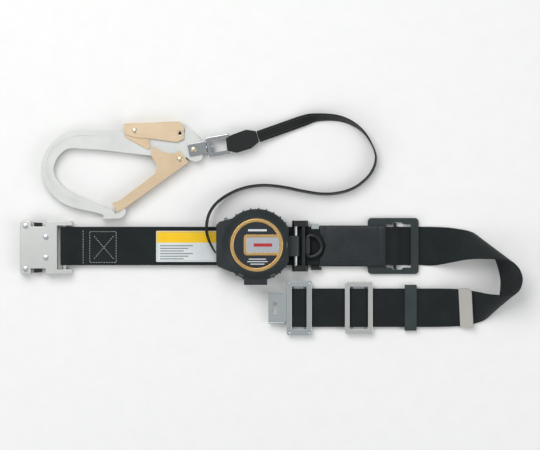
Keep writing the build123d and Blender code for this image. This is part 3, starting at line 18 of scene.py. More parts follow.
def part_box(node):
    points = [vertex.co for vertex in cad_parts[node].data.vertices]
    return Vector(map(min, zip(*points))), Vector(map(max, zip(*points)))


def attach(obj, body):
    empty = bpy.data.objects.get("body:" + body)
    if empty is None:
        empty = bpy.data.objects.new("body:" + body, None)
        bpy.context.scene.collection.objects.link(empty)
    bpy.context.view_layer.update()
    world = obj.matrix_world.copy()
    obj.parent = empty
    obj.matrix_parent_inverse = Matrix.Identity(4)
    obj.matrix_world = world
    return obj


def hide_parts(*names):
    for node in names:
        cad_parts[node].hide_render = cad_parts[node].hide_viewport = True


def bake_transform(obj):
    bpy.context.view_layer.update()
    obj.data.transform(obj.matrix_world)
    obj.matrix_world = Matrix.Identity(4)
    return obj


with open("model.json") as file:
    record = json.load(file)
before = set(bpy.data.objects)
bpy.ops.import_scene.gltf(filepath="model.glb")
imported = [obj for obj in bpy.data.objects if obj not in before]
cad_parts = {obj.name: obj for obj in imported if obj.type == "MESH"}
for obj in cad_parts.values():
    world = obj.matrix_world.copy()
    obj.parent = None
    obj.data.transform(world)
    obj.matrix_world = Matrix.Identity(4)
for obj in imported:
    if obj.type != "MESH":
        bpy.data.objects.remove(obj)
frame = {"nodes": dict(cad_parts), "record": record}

LOG = logging.getLogger("lifeline")
MM = 0.001
Point = tuple[float, float, float]
Ruling = tuple[Vector, Vector]


def linear(colour: str) -> tuple[float, float, float, float]:
    """Turn an sRGB hex colour into the linear colour that a shader takes.

    Args:
        colour: Six hex digits.

    Returns:
        Red, green, blue and an alpha of 1.
    """
    channels = [int(colour[i : i + 2], 16) / 255 for i in (0, 2, 4)]
    red, green, blue = (c / 12.92 if c <= 0.04045 else ((c + 0.055) / 1.055) ** 2.4 for c in channels)
    return red, green, blue, 1.0


def add_node(tree: bpy.types.NodeTree, kind: str, settings: dict, inputs: dict) -> bpy.types.Node:
    """Add one node with its settings, its constants and its links.

    Args:
        tree: The material's node tree.
        kind: The node's type name without the ShaderNode prefix.
        settings: Attributes set on the node itself.
        inputs: Socket name or number to a constant, or to the output socket to link from.

    Returns:
        The new node.
    """
    node = tree.nodes.new("ShaderNode" + kind)
    for name, value in settings.items():
        setattr(node, name, value)
    for name, value in inputs.items():
        if isinstance(value, bpy.types.NodeSocket):
            tree.links.new(value, node.inputs[name])
        else:
            node.inputs[name].default_value = value
    return node


class Texture(Enum):
    """How a surface was made, which decides its pattern."""

    MOULDED = "moulded"
    BLASTED = "blasted"
    BRUSHED = "brushed"
    WOVEN = "woven"
    GRAINED = "grained"
    PRINTED = "printed"


@dataclass(frozen=True)
class Finish:
    """One real finish: its colours, its gloss and the size of its pattern in millimetres."""

    name: str
    colour: str
    second: str
    texture: Texture
    roughness: float
    pitch: float
    depth: float
    metallic: float = 0.0
    ior: float = 1.5
    coat: float = 0.0
    sheen: float = 0.0
    alpha: float = 1.0

    def material(self) -> bpy.types.Material:
        """Return this finish's material, built the first time that it is asked for."""
        made = bpy.data.materials.get(self.name)
        if made:
            return made
        made = bpy.data.materials.new(self.name)
        made.use_nodes = True
        tree = made.node_tree
        tree.nodes.clear()
        height, blend = self.pattern(tree)
        colour = add_node(tree, "Mix", {"data_type": "RGBA"}, {})
        colour.inputs[6].default_value = linear(self.colour)
        colour.inputs[7].default_value = linear(self.second)
        tree.links.new(blend, colour.inputs[0])
        wear = add_node(tree, "MapRange", {}, {0: blend, 3: self.roughness * 0.86, 4: min(self.roughness * 1.16, 1)})
        bump = add_node(tree, "Bump", {}, {"Strength": 0.6, "Distance": self.depth * MM, "Height": height})
        inputs = {
            "Base Color": colour.outputs[2],
            "Roughness": wear.outputs[0],
            "Normal": bump.outputs[0],
            "Metallic": self.metallic,
            "Coat Weight": self.coat,
            "Coat Roughness": 0.18,
            "Sheen Weight": self.sheen,
            "Sheen Roughness": 0.5,
        }
        if not self.metallic:
            inputs["IOR"] = self.ior
        if self.alpha < 1:
            inputs["Alpha"] = self.alpha
        shader = add_node(tree, "BsdfPrincipled", {}, inputs)
        add_node(tree, "OutputMaterial", {}, {"Surface": shader.outputs[0]})
        return made

    def pattern(self, tree: bpy.types.NodeTree) -> tuple[bpy.types.NodeSocket, bpy.types.NodeSocket]:
        """Build the pattern that this finish's making leaves.

        Args:
            tree: The material's node tree.

        Returns:
            The height for the bump, and the share of the second colour.
        """
        place = add_node(tree, "TexCoord", {}, {})
        repeat = 1 / (self.pitch * MM)
        across = add_node(tree, "Mapping", {}, {"Vector": place.outputs["Object"], "Scale": (repeat,) * 3})
        if self.texture is Texture.BRUSHED:
            across.inputs["Scale"].default_value = (repeat / 14, repeat, repeat)
        detail = {"Scale": 1.0, "Detail": 4.0, "Roughness": 0.62}
        fine = add_node(tree, "TexNoise", {}, {"Vector": across.outputs[0], **detail})
        broad = add_node(tree, "TexNoise", {}, {"Vector": place.outputs["Object"], "Scale": 42.0, "Detail": 2.0})
        height = fine.outputs[0]
        if self.texture is Texture.GRAINED:
            cells = {"feature": "SMOOTH_F1"}
            height = add_node(tree, "TexVoronoi", cells, {"Vector": across.outputs[0], "Scale": 1.0}).outputs[0]
        if self.texture is Texture.WOVEN:
            height = self.weave(tree, place.outputs["UV"])
        share = {"operation": "MULTIPLY_ADD"}
        mixed = add_node(tree, "Math", share, {0: height, 1: 0.55, 2: -0.12})
        blend = add_node(tree, "Math", {"operation": "ADD", "use_clamp": True}, {0: mixed.outputs[0]})
        spread = add_node(tree, "MapRange", {}, {0: broad.outputs[0], 1: 0.35, 2: 0.75, 3: 0.0, 4: 0.4})
        tree.links.new(spread.outputs[0], blend.inputs[1])
        return height, blend.outputs[0]

    def weave(self, tree: bpy.types.NodeTree, surface: bpy.types.NodeSocket) -> bpy.types.NodeSocket:
        """Cross ribs and warp threads along a strap, from its own UV map, which is in metres.

        Args:
            tree: The material's node tree.
            surface: The UV map's socket.

        Returns:
            The weave's height.
        """
        repeat = 1 / (self.pitch * MM)
        bands = []
        for direction, share in (("Y", 1.0), ("X", 1.7)):
            turn = {"wave_type": "BANDS", "bands_direction": direction, "wave_profile": "SIN"}
            thread = {"Vector": surface, "Scale": repeat * share / 3.1416, "Distortion": 0.6, "Detail": 1.0}
            bands.append(add_node(tree, "TexWave", turn, thread).outputs[1])
        return add_node(tree, "Math", {"operation": "MULTIPLY"}, {0: bands[0], 1: bands[1]}).outputs[0]


# Tight polyester belt webbing: dull, with cross ribs that catch the light. Its 1 mm threads are
# drawn 2.6 mm apart, so that they show.
WEBBING = Finish("polyester_webbing", "12181a", "272f30", Texture.WOVEN, 0.8, 2.6, 0.5, ior=1.3, sheen=0.1)
# Hard-woven 15 mm ribbon: black with a faint shine along the threads.
RIBBON = Finish("woven_nylon_ribbon", "0b0c0d", "1d2021", Texture.WOVEN, 0.62, 1.5, 0.3, ior=1.35, sheen=0.08)
# Bonded thread, pale grey and slightly waxy.
THREAD = Finish("bonded_thread", "b9bdb8", "8f948f", Texture.MOULDED, 0.6, 0.8, 0.1)
# The sleeve is sewn with dark thread.
DARK_THREAD = Finish("dark_bonded_thread", "3c4345", "2d3335", Texture.MOULDED, 0.6, 0.8, 0.1)
# Coated label cloth: flat colour, dull.
LABEL_GREY = Finish("coated_label_cloth", "dfe4e5", "cfd5d6", Texture.PRINTED, 0.7, 1.2, 0.05, ior=1.4)
LABEL_YELLOW = Finish("yellow_label_print", "f9cc1b", "efb90f", Texture.PRINTED, 0.62, 1.2, 0.05, ior=1.4)
LABEL_RULE = Finish("grey_label_print", "7d8485", "6a7172", Texture.PRINTED, 0.65, 1.2, 0.05)
# Grained synthetic leather: soft highlights, pebbled.
LEATHER = Finish("grained_synthetic_leather", "1b2023", "2d3437", Texture.GRAINED, 0.46, 1.6, 0.14, ior=1.4)
# Powder-coated steel: an even satin skin with a fine orange peel.
POWDER_COAT = Finish("grey_powder_coated_steel", "242c2d", "333b3c", Texture.BLASTED, 0.4, 1.4, 0.06, ior=1.45)
BLACK_COAT = Finish("black_e_coated_steel", "0d0f10", "1c1f20", Texture.BLASTED, 0.34, 1.4, 0.05)
# Pinch levers and stopper in glass-filled nylon: black, fine moulded grain.
BLACK_NYLON = Finish("black_glass_filled_nylon", "0e1011", "1e2121", Texture.MOULDED, 0.55, 0.7, 0.06, ior=1.4)
# Bright anodised aluminium plate, lightly brushed along the belt.
ANODISED = Finish("brushed_anodised_aluminium", "d4d5d2", "bdbfbc", Texture.BRUSHED, 0.36, 1.1, 0.03, metallic=0.85)
# Zinc-plated pressed steel: greyer, soft reflections.
ZINC = Finish("zinc_plated_steel", "c8cecf", "b2b9ba", Texture.BRUSHED, 0.32, 1.6, 0.04, metallic=0.9)
SPRING_WIRE = Finish("drawn_spring_wire", "9da1a4", "7f8386", Texture.BRUSHED, 0.28, 0.6, 0.02, metallic=1.0)
# Nickel-chrome plate on the swivel: near mirror.
CHROME = Finish("nickel_chrome_plate", "cfd2d4", "b4b8bb", Texture.MOULDED, 0.13, 6.0, 0.01, metallic=1.0)
# Bead-blasted aluminium forging: pale, even, no glare.
FORGING = Finish("bead_blasted_aluminium", "d4d5d2", "c2c4c1", Texture.BLASTED, 0.5, 0.9, 0.08, metallic=0.35)
# Yellow-chromated steel sheet: warm beige with a satin sheen.
CHROMATE = Finish("yellow_chromated_steel", "d6c0a2", "c0a683", Texture.BRUSHED, 0.38, 2.4, 0.03, metallic=0.4)
CRIMP = Finish("burnished_rivet_steel", "d8cbb4", "b9a988", Texture.MOULDED, 0.3, 1.0, 0.02, metallic=0.8)
# Moulded rubber boot over the ribbon's end.
RUBBER = Finish("moulded_rubber", "0f1112", "1c1f20", Texture.MOULDED, 0.66, 0.9, 0.1, ior=1.4)
# Slate ABS case: spark-eroded grain, satin.
CASE_ABS = Finish("slate_moulded_abs", "1a2123", "293033", Texture.BLASTED, 0.46, 0.8, 0.07, ior=1.42)
WINDOW_ABS = Finish("pale_slate_abs", "4c5557", "5c6567", Texture.BLASTED, 0.42, 0.8, 0.05)
# Gold-coloured plated trim.
GOLD = Finish("gold_plated_trim", "efc98a", "cd9a4e", Texture.BRUSHED, 0.24, 0.9, 0.02, metallic=0.85)
DISC_PRINT = Finish("navy_printed_polycarbonate", "141a21", "1f262e", Texture.PRINTED, 0.3, 1.5, 0.02, coat=0.25)
PALE_PRINT = Finish("pale_pad_print", "d9dde0", "c4c9cc", Texture.PRINTED, 0.5, 1.2, 0.02)
RED_PRINT = Finish("red_pad_print", "b8202c", "a01a26", Texture.PRINTED, 0.45, 1.2, 0.02)
BADGE = Finish("brushed_badge_aluminium", "cdd0d6", "b2b6be", Texture.BRUSHED, 0.3, 0.7, 0.02, metallic=0.7)
KEEPER = Finish("slate_acetal", "262f31", "363f41", Texture.MOULDED, 0.42, 1.0, 0.05)
TIP = Finish("warm_grey_nylon", "b8b5ae", "a7a49d", Texture.MOULDED, 0.5, 1.2, 0.05)
BUTTON = Finish("smoked_polycarbonate", "8b9093", "777c7f", Texture.MOULDED, 0.22, 2.0, 0.01, coat=0.3)
DRUM = Finish("natural_nylon", "d9d9d2", "c8c8c0", Texture.MOULDED, 0.5, 1.2, 0.05)
STAGE = Finish("pale_paper", "f4f4f2", "efefed", Texture.PRINTED, 0.9, 9.0, 0.01)


def finished(name: str, shape: bmesh.types.BMesh, finish: Finish, body: str) -> bpy.types.Object:
    """Turn a bmesh in metres into a piece that rides on a body.

    Args:
        name: The piece's name.
        shape: Its mesh, which is freed.
        finish: Its finish.
        body: The body it rides on, or an empty name for a piece that rides on no body.

    Returns:
        The new object.
    """
    data = bpy.data.meshes.new(name)
    shape.to_mesh(data)
    shape.free()
    data.shade_smooth()
    data.set_sharp_from_angle(angle=math.radians(24))
    data.materials.append(finish.material())
    piece = bpy.data.objects.new(name, data)
    bpy.context.scene.collection.objects.link(piece)
    weighted = piece.modifiers.new("weighted_normals", "WEIGHTED_NORMAL")
    weighted.keep_sharp = True
    weighted.weight = 100
    if body:
        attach(piece, body)
    LOG.info("%s: %d faces on %s", name, len(data.polygons), body or "two bodies")
    return piece


def body_of(node: str) -> str:
    """Return the body that a CAD node belongs to."""
    bodies = frame["record"]["behaviour"]["bodies"]
    return next(name for name, nodes in bodies.items() if node in nodes)


def dress(node: str, finish: Finish) -> None:
    """Give a CAD node that stays as it is a better material."""
    piece = frame["nodes"][node]
    for place in piece.material_slots:
        place.material = finish.material()


def softened(node: str, finish: Finish, width: float, angle: float = 32.0) -> bpy.types.Object:
    """Copy a hard piece with its sharp edges broken, as tumbling or moulding leaves them.

    Args:
        node: The CAD node that the copy stands for.
        finish: Its finish.
        width: The bevel's width in millimetres.
        angle: Edges that turn by more degrees than this are broken.

    Returns:
        The new piece.
    """
    shape = bmesh.new()
    shape.from_mesh(frame["nodes"][node].data)
    bmesh.ops.remove_doubles(shape, verts=shape.verts, dist=0.00001)
    bmesh.ops.dissolve_limit(
        shape, angle_limit=math.radians(1.5), verts=shape.verts, edges=shape.edges, delimit={"NORMAL"}
    )
    sharp = [
        edge
        for edge in shape.edges
        if len(edge.link_faces) == 2 and edge.calc_face_angle(0.0) > math.radians(angle)
    ]
    bmesh.ops.bevel(
        shape, geom=sharp, offset=width * MM, offset_type="OFFSET", segments=2, profile=0.5, material=-1,
        affect="EDGES", clamp_overlap=True,
    )
    piece = finished(node + "_skin", shape, finish, body_of(node))
    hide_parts(node)
    return piece


def nurbs_line(points: Sequence[Vector]) -> list[Vector]:
    """Read the smooth line that a NURBS spline draws from its control points.

    Args:
        points: Control points in metres.

    Returns:
        Points along the spline.
    """
    curve = bpy.data.curves.new("route", "CURVE")
    curve.dimensions = "3D"
    curve.resolution_u = 7
    spline = curve.splines.new("NURBS")
    spline.points.add(len(points) - 1)
    for control, place in zip(spline.points, points):
        control.co = (*place, 1.0)
    spline.order_u = 3
    spline.use_endpoint_u = True
    holder = bpy.data.objects.new("route", curve)
    mesh = bpy.data.meshes.new_from_object(holder)
    line = [vert.co.copy() for vert in mesh.vertices]
    bpy.data.objects.remove(holder)
    bpy.data.meshes.remove(mesh)
    bpy.data.curves.remove(curve)
    return line


def strap_mesh(rulings: Sequence[Ruling], thick: float, across: int) -> bmesh.types.BMesh:
    """Draw a strap along its rulings, with rounded selvedges and a UV map in metres.

    Args:
        rulings: Pairs of edge points in metres, one pair for each station along the strap.
        thick: Thickness in metres. The rulings lie in its middle.
        across: How many faces lie across the strap.

    Returns:
        The closed mesh.
    """
    width = (rulings[0][1] - rulings[0][0]).length
    inset = 1 - 0.7 * thick / width
    top = [(inset * (2 * i / across - 1), 1.0) for i in range(across + 1)]
    section = [*top, (1.0, 0.4), (1.0, -0.4), *((u, -v) for u, v in reversed(top)), (-1.0, -0.4), (-1.0, 0.4)]
    mids = [(a + b) / 2 for a, b in rulings]
    shape = bmesh.new()
    row = [shape.verts.new((float(i), 0.0, 0.0)) for i in range(len(section))]
    edges = [shape.edges.new(pair) for pair in zip(row, [*row[1:], row[0]])]
    shape.faces.new(reversed(row))
    rows = [row]
    for _ in rulings[1:]:
        grown = bmesh.ops.extrude_edge_only(shape, edges=edges)["geom"]
        edges = [item for item in grown if isinstance(item, bmesh.types.BMEdge)]
        fresh = [item for item in grown if isinstance(item, bmesh.types.BMVert)]
        rows.append(sorted(fresh, key=lambda vert: vert.co.x))
    shape.faces.new(rows[-1])
    travelled, place_of = 0.0, {}
    for station, ((edge_a, edge_b), row) in enumerate(zip(rulings, rows)):
        ahead = mids[min(station + 1, len(mids) - 1)] - mids[max(station - 1, 0)]
        over = (edge_b - edge_a) / 2
        rise = over.cross(ahead).normalized() * thick / 2
        travelled += (mids[station] - mids[max(station - 1, 0)]).length
        for vert, (u, v) in zip(row, section):
            vert.co = mids[station] + over * u + rise * v
            place_of[vert] = (u * width / 2, travelled)
    layer = shape.loops.layers.uv.new("UVMap")
    for face in shape.faces:
        for corner in face.loops:
            corner[layer].uv = place_of[corner.vert]
    bmesh.ops.recalc_face_normals(shape, faces=shape.faces)
    return shape


def smooth_rulings(rulings: Sequence[Ruling], steps: int) -> list[Ruling]:
    """Put more rulings between given ones, on a curve that passes through them all.

    Args:
        rulings: The given rulings.
        steps: How many parts each gap is divided into.

    Returns:
        The finer rulings.
    """
    finer: list[Ruling] = []
    last = len(rulings) - 1
    for index in range(last):
        around = [rulings[max(min(index + shift, last), 0)] for shift in (-1, 0, 1, 2)]
        for step in range(steps):
            t = step / steps
            pair = []
            for side in (0, 1):
                p0, p1, p2, p3 = (ruling[side] for ruling in around)
                bend = 2 * p1 + (p2 - p0) * t + (2 * p0 - 5 * p1 + 4 * p2 - p3) * t**2
                pair.append((bend + (3 * p1 - p0 - 3 * p2 + p3) * t**3) / 2)
            finer.append((pair[0], pair[1]))
    finer.append(rulings[last])
    return finer


def side_view(corners: Sequence[tuple[float, float]], radii: Sequence[float], low: float, high: float) -> list[Ruling]:
    """Turn a strap's side view into rulings, with an arc at each corner.

    Args:
        corners: X and Z in millimetres.
        radii: The arc's radius at each inner corner.
        low: Y of the strap's second edge.
        high: Y of the strap's first edge.

    Returns:
        Rulings in metres.
    """
    places = [Vector(corner) for corner in corners]
    line = [places[0]]
    for before, here, after, radius in zip(places, places[1:], places[2:], radii):
        enter = (before - here).normalized()
        leave = (after - here).normalized()
        turn = math.pi - enter.angle(leave)
        reach = radius * math.tan(turn / 2)
        parts = max(2, round(math.degrees(turn) / 15))
        for step in range(parts + 1):
            t = step / parts
            line.append((here + enter * reach).lerp(here, t).lerp(here.lerp(here + leave * reach, t), t))
    line.append(places[-1])
    return [(Vector((p.x, high, p.y)) * MM, Vector((p.x, low, p.y)) * MM) for p in line]


def stitch_rows(
    name: str, seams: Sequence[tuple[Point, Point]], body: str, spacing: float = 3.4, thread: Finish = THREAD
) -> bpy.types.Object:
    """Lay rows of stitches, each a small sunk capsule of thread.

    Args:
        name: The piece's name.
        seams: Start and end of each seam in millimetres.
        body: The body the stitches ride on.
        spacing: Stitch pitch in millimetres.
        thread: The thread's finish.

    Returns:
        The stitches as one piece.
    """
    shape = bmesh.new()
    for start, end in seams:
        run = Vector(end) - Vector(start)
        count = max(2, round(run.length / spacing))
        turn = run.to_track_quat("X", "Z").to_matrix().to_4x4()
        size = Matrix.Diagonal((run.length / count * 0.36, 0.42, 0.3, 1.0))
        for index in range(count):
            place = Vector(start) + run * ((index + 0.5) / count)
            matrix = Matrix.Scale(MM, 4) @ Matrix.Translation(place) @ turn @ size
            bmesh.ops.create_uvsphere(shape, u_segments=8, v_segments=5, radius=1.0, matrix=matrix)
    return finished(name, shape, thread, body)


def turned(name: str, profile: Sequence[tuple[float, float]], centre: Vector, axis: Vector) -> bmesh.types.BMesh:
    """Turn a closed profile round an axis, as on a lathe.

    Args:
        name: What the piece is, for the log.
        profile: Radius and height in millimetres, from the axis out and back.
        centre: The axis's foot in millimetres.
        axis: The axis's direction.

    Returns:
        The mesh in metres.
    """
    shape = bmesh.new()
    verts = [shape.verts.new((radius, 0.0, height)) for radius, height in profile]
    edges = [shape.edges.new(pair) for pair in zip(verts, verts[1:])]
    bmesh.ops.spin(
        shape, geom=verts + edges, cent=(0, 0, 0), axis=(0, 0, 1), dvec=(0, 0, 0), angle=2 * math.pi, steps=28,
        use_merge=True,
    )
    bmesh.ops.remove_doubles(shape, verts=shape.verts, dist=0.001)
    bmesh.ops.recalc_face_normals(shape, faces=shape.faces)
    turn = axis.to_track_quat("Z", "Y").to_matrix().to_4x4()
    bmesh.ops.transform(shape, matrix=Matrix.Scale(MM, 4) @ Matrix.Translation(centre) @ turn, verts=shape.verts)
    LOG.debug("%s turned", name)
    return shape


def joined(shapes: Sequence[bmesh.types.BMesh]) -> bmesh.types.BMesh:
    """Return one mesh made of several, which are freed."""
    whole = bmesh.new()
    for shape in shapes:
        part = bpy.data.meshes.new("part")
        shape.to_mesh(part)
        shape.free()
        whole.from_mesh(part)
        bpy.data.meshes.remove(part)
    return whole


@dataclass
class Studio:
    """A pale floor, soft lights and a camera straight above."""

    view_width: float = 702.0
    view_centre: Point = (-0.2, 4.8, 0.0)
    distance: float = 3200.0
    level: float = 12.0

    def build(self) -> None:
        """Make the camera, the floor and the lights."""
        data = bpy.data.cameras.new("camera")
        data.sensor_width = 36.0
        data.lens = 36.0 * self.distance / self.view_width
        data.clip_end = 20.0
        camera = bpy.data.objects.new("camera", data)
        camera.location = Vector(self.view_centre) * MM + Vector((0, 0, (self.distance + self.level) * MM))
        bpy.context.scene.collection.objects.link(camera)
        bpy.context.scene.camera = camera
        ground = bmesh.new()
        bmesh.ops.create_grid(ground, x_segments=2, y_segments=2, size=4.0)
        sheet = bpy.data.meshes.new("floor")
        ground.to_mesh(sheet)
        ground.free()
        sheet.materials.append(STAGE.material())
        floor = bpy.data.objects.new("floor", sheet)
        floor.location.z = -0.0004
        bpy.context.scene.collection.objects.link(floor)
        self.light("top_light", (-0.5, 0.9, 1.6), 1.3, 20.0)
        self.light("side_light", (1.5, -0.5, 1.2), 1.1, 9.0)
        self.light("low_light", (-1.5, -0.9, 0.9), 0.9, 6.0)
        world = bpy.data.worlds.new("studio")
        world.use_nodes = True
        world.node_tree.nodes["Background"].inputs[0].default_value = linear("eef1f3")
        world.node_tree.nodes["Background"].inputs[1].default_value = 0.5
        bpy.context.scene.world = world
        bpy.context.scene.view_settings.view_transform = "Standard"

    def light(self, name: str, place: Point, size: float, power: float) -> None:
        """Hang one square light that faces the object."""
        data = bpy.data.lights.new(name, "AREA")
        data.energy = power
        data.size = size
        lamp = bpy.data.objects.new(name, data)
        lamp.location = place
        lamp.rotation_euler = Vector(place).to_track_quat("Z", "Y").to_euler()
        bpy.context.scene.collection.objects.link(lamp)


@dataclass
class Lanyard:
    """The ribbon from the reel's mouth to the boot on the swivel's eye."""

    width: float = 15.0
    thick: float = 1.8
    length: float = 495.0
    lean: float = 1.1
    exit: Point = (-70.7, -31.6, 20.9)
    on_edge: tuple[Point, ...] = (
        (-70.7, -31.6, 20.9),
        (-80.4, -16.0, 20.9),
        (-83.4, 4.0, 20.9),
        (-78.4, 23.6, 15.3),
        (-64.6, 39.0, 9.4),
        (-39.8, 52.4, 7.5),
        (-10.6, 57.4, 7.5),
        (18.0, 54.4, 7.5),
        (44.0, 48.4, 7.5),
        (71.3, 44.2, 7.5),
        (97.6, 47.6, 7.5),
        (116.6, 56.6, 7.5),
        (133.6, 73.6, 7.5),
        (139.6, 94.4, 7.5),
    )
    # X, Y, heading and roll where the ribbon turns from its edge to flat.
    turning: tuple[tuple[float, float, float, float], ...] = (
        (130.0, 115.3, -62, 90),
        (120.0, 128.6, -43, 84),
        (104.0, 139.6, -24, 72),
        (85.0, 145.2, -9, 61),
        (60.0, 145.4, 9, 50),
        (47.0, 142.2, 17, 14),
    )
    sewn: tuple[tuple[float, float, float, float], ...] = ((19.3, 132.2, 20, 2.3), (-15.4, 119.8, 18, 8.2))

    def stations(self) -> tuple[list[Vector], list[Vector]]:
        """Return control points of the middle line and of the upper edge, in metres."""
        middle = [Vector(point) for point in self.on_edge]
        edge = []
        for index, point in enumerate(middle):
            ahead = middle[min(index + 1, len(middle) - 1)] - middle[max(index - 1, 0)]
            share = math.sin(math.pi * min(index / 4, 0.5))
            out = Vector((-ahead.y, ahead.x, 0)).normalized() * self.lean * share
            edge.append(point + out + Vector((0, 0, self.width / 2)))
        for x, y, heading, roll in self.turning:
            tilt = math.radians(roll)
            side = Vector((-math.sin(math.radians(heading)), math.cos(math.radians(heading)), 0))
            over = side * math.cos(tilt) + Vector((0, 0, math.sin(tilt)))
            rest = self.width / 2 * math.sin(tilt) + self.thick / 2 * math.cos(tilt)
            place = Vector((x, y, rest + (1.0 if roll < 20 else 0.0)))
            middle.append(place)
            edge.append(place + over * self.width / 2)
        for x, y, heading, height in self.sewn:
            side = Vector((-math.sin(math.radians(heading)), math.cos(math.radians(heading)), 0))
            middle.append(Vector((x, y, height)))
            edge.append(middle[-1] + side * self.width / 2)
        return [point * MM for point in middle], [point * MM for point in edge]

    def build(self) -> None:
        """Make the ribbon, its sewn double end and the boot."""
        middle, edge = self.stations()
        line = nurbs_line(middle)
        upper = nurbs_line(edge)
        rulings = [(mid * 2 - top, top) for mid, top in zip(line, upper)]
        shape = strap_mesh(rulings, self.thick * MM, 6)
        ribbon = finished("ribbon", shape, RIBBON, "")
        tail = rulings[-26:]
        lift = Vector((0, 0, self.thick * 0.85 * MM))
        ply = strap_mesh([(a + lift, b + lift) for a, b in tail], self.thick * MM * 0.7, 6)
        sewn_ply = finished("ribbon_sewn_ply", ply, RIBBON, "belt")
        rows = []
        for share in (0.2, 0.8):
            route = [(a.lerp(b, share) + lift * 1.6) / MM for a, b in tail[::5]]
            rows += [(tuple(p), tuple(q)) for p, q in zip(route, route[1:])]
        seam = stitch_rows("ribbon_seam", rows, "belt", 2.6, DARK_THREAD)
        boot = softened("lanyard_end_sleeve", RUBBER, 1.6, 40)
        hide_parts("lanyard_ribbon")
        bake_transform(ribbon)


@dataclass
class Belt:
    """The webbing belt, its label, its sleeve and its seams."""

    width: float = 50.0
    thick: float = 2.0
    upper_y: float = -22.5
    lower_y: float = -103.0
    upper_z: float = 7.2
    loop_x: float = 195.0
    bar_x: float = -268.0
    fold_r: float = 4.2
    plate_bar_x: float = 162.6
    frame_bar_x: float = 37.3
    slider_bar_x: float = 115.4
    layer_z: float = 2.8
    top_z: float = 4.9
    over_z: float = 7.2
    # Edge on the table, then leaning edge, round the turned loop.
    loop: tuple[tuple[Point, Point], ...] = (
        ((217, 2.2, 1), (214, -48.0, 3)),
        ((234, 1.2, 1), (236, -43.6, 20)),
        ((246, -0.6, 1), (256, -39.6, 31)),
        ((255, -2.2, 1), (276, -38.8, 38)),
        ((261, -4, 1), (295, -39.6, 42)),
        ((268, -8, 1), (310, -42.8, 43.5)),
        ((281, -20.5, 1), (318, -49, 44)),
        ((293.6, -39.4, 1), (322.6, -56, 44)),
        ((300.1, -63, 1), (324.9, -65, 44)),
        ((300.2, -80, 1), (323.2, -74, 44)),
        ((297, -97, 1), (320, -79.5, 44)),
        ((288, -111, 1), (314.5, -83.5, 43.5)),
        ((279, -119, 1), (302, -85.5, 40.5)),
        ((268, -123.3, 1), (284, -84.7, 33)),
        ((255, -126, 1), (266, -81.3, 20)),
        ((238, -127.6, 1), (246, -78.6, 11)),
        ((218, -128, 1.6), (221, -78, 4.2)),
    )
    tail: tuple[tuple[Point, Point], ...] = (
        ((218, -128, 4.6), (218, -78.2, 8.4)),
        ((232, -127.6, 3.9), (232, -78.9, 12.8)),
        ((243.5, -127, 3.6), (243.5, -79, 17.5)),
        ((257.5, -127, 7.1), (257.5, -79, 21.0)),
    )

    def upper_route(self) -> list[Ruling]:
        """Rulings of the upper run, from its sewn end round the buckle's bar to the loop."""
        under = self.upper_z - self.thick - 0.06
        bar, plate = self.bar_x, self.plate_bar_x
        low, high = self.upper_z - self.fold_r, self.upper_z + self.fold_r
        corners = [
            (-198.0, under),
            (bar + 20, under),
            (bar + 6, low),
            (bar - self.fold_r, low),
            (bar - self.fold_r, high),
            (bar + 6, high),
            (bar + 20, self.upper_z),
            (151.0, self.upper_z),
            (plate - 7.6, self.upper_z - 1.8),
            (plate - 2.8, self.upper_z - 0.6),
            (plate + 2.2, self.upper_z - 0.7),
            (plate + 8.0, 1.5),
            (plate + 13.4, 1.0),
            (self.loop_x, 1.0),
        ]
        turn = self.fold_r - 0.05
        radii = [4, 4, turn, turn, 4, 4, 2, 2, 2, 2, 2, 4]
        half = self.width / 2
        return side_view(corners, radii, self.upper_y - half, self.upper_y + half)

    def lower_route(self) -> list[Ruling]:
        """Rulings of the lower run, from the loop round the tongue frame's bar and back."""
        wrap = self.frame_bar_x - 8.4
        corners = [
            (self.loop_x, self.layer_z),
            (wrap, self.layer_z),
            (wrap, self.over_z),
            (self.frame_bar_x + 7.2, self.over_z),
            (self.frame_bar_x + 11.8, self.top_z),
            (self.slider_bar_x - 13.1, self.top_z),
            (self.slider_bar_x - 8.5, self.over_z),
            (self.slider_bar_x + 8.5, self.over_z),
            (self.slider_bar_x + 13.1, self.top_z),
            (self.loop_x, self.top_z),
        ]
        turn = (self.over_z - self.layer_z) / 2 - 0.05
        half = self.width / 2
        high, low = self.lower_y - half, self.lower_y + half
        return side_view(corners, [turn, turn, 3, 3, 3, 3, 3, 3], low, high)

    def build(self) -> None:
        """Make the webbing as one length, then what is sewn to it or slid over it."""
        upper, lower = self.upper_route(), self.lower_route()
        loop = [(Vector(a) * MM, Vector(b) * MM) for a, b in self.loop]
        tail = [(Vector(a) * MM, Vector(b) * MM) for a, b in self.tail]
        turned_part = smooth_rulings([upper[-2], upper[-1], *loop, lower[0], lower[1]], 4)[4:-4]
        end_part = smooth_rulings([lower[-2], lower[-1], *tail], 3)[3:]
        rulings = upper[:-1] + turned_part[:-1] + lower[:-1] + end_part
        webbing = finished("webbing", strap_mesh(rulings, self.thick * MM, 8), WEBBING, "belt")
        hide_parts("belt_webbing")
        seams = self.seams()
        self.label()
        self.sleeve()

    def seams(self) -> bpy.types.Object:
        """The box-and-cross seam that closes the loop round the buckle's bar."""
        top = self.upper_z + self.thick / 2 + 0.05
        rows = [
            ((-243.4, -1.7), (-243.4, -45.9)),
            ((-234.8, -3.8), (-200.5, -3.8)),
            ((-234.8, -43.9), (-200.5, -43.9)),
            ((-234.8, -3.8), (-234.8, -43.9)),
            ((-200.5, -3.8), (-200.5, -43.9)),
            ((-229.6, -9.1), (-203.4, -39.6)),
            ((-229.6, -39.6), (-203.4, -9.1)),
        ]
        return stitch_rows("belt_seam", [((*a, top), (*b, top)) for a, b in rows], "belt")

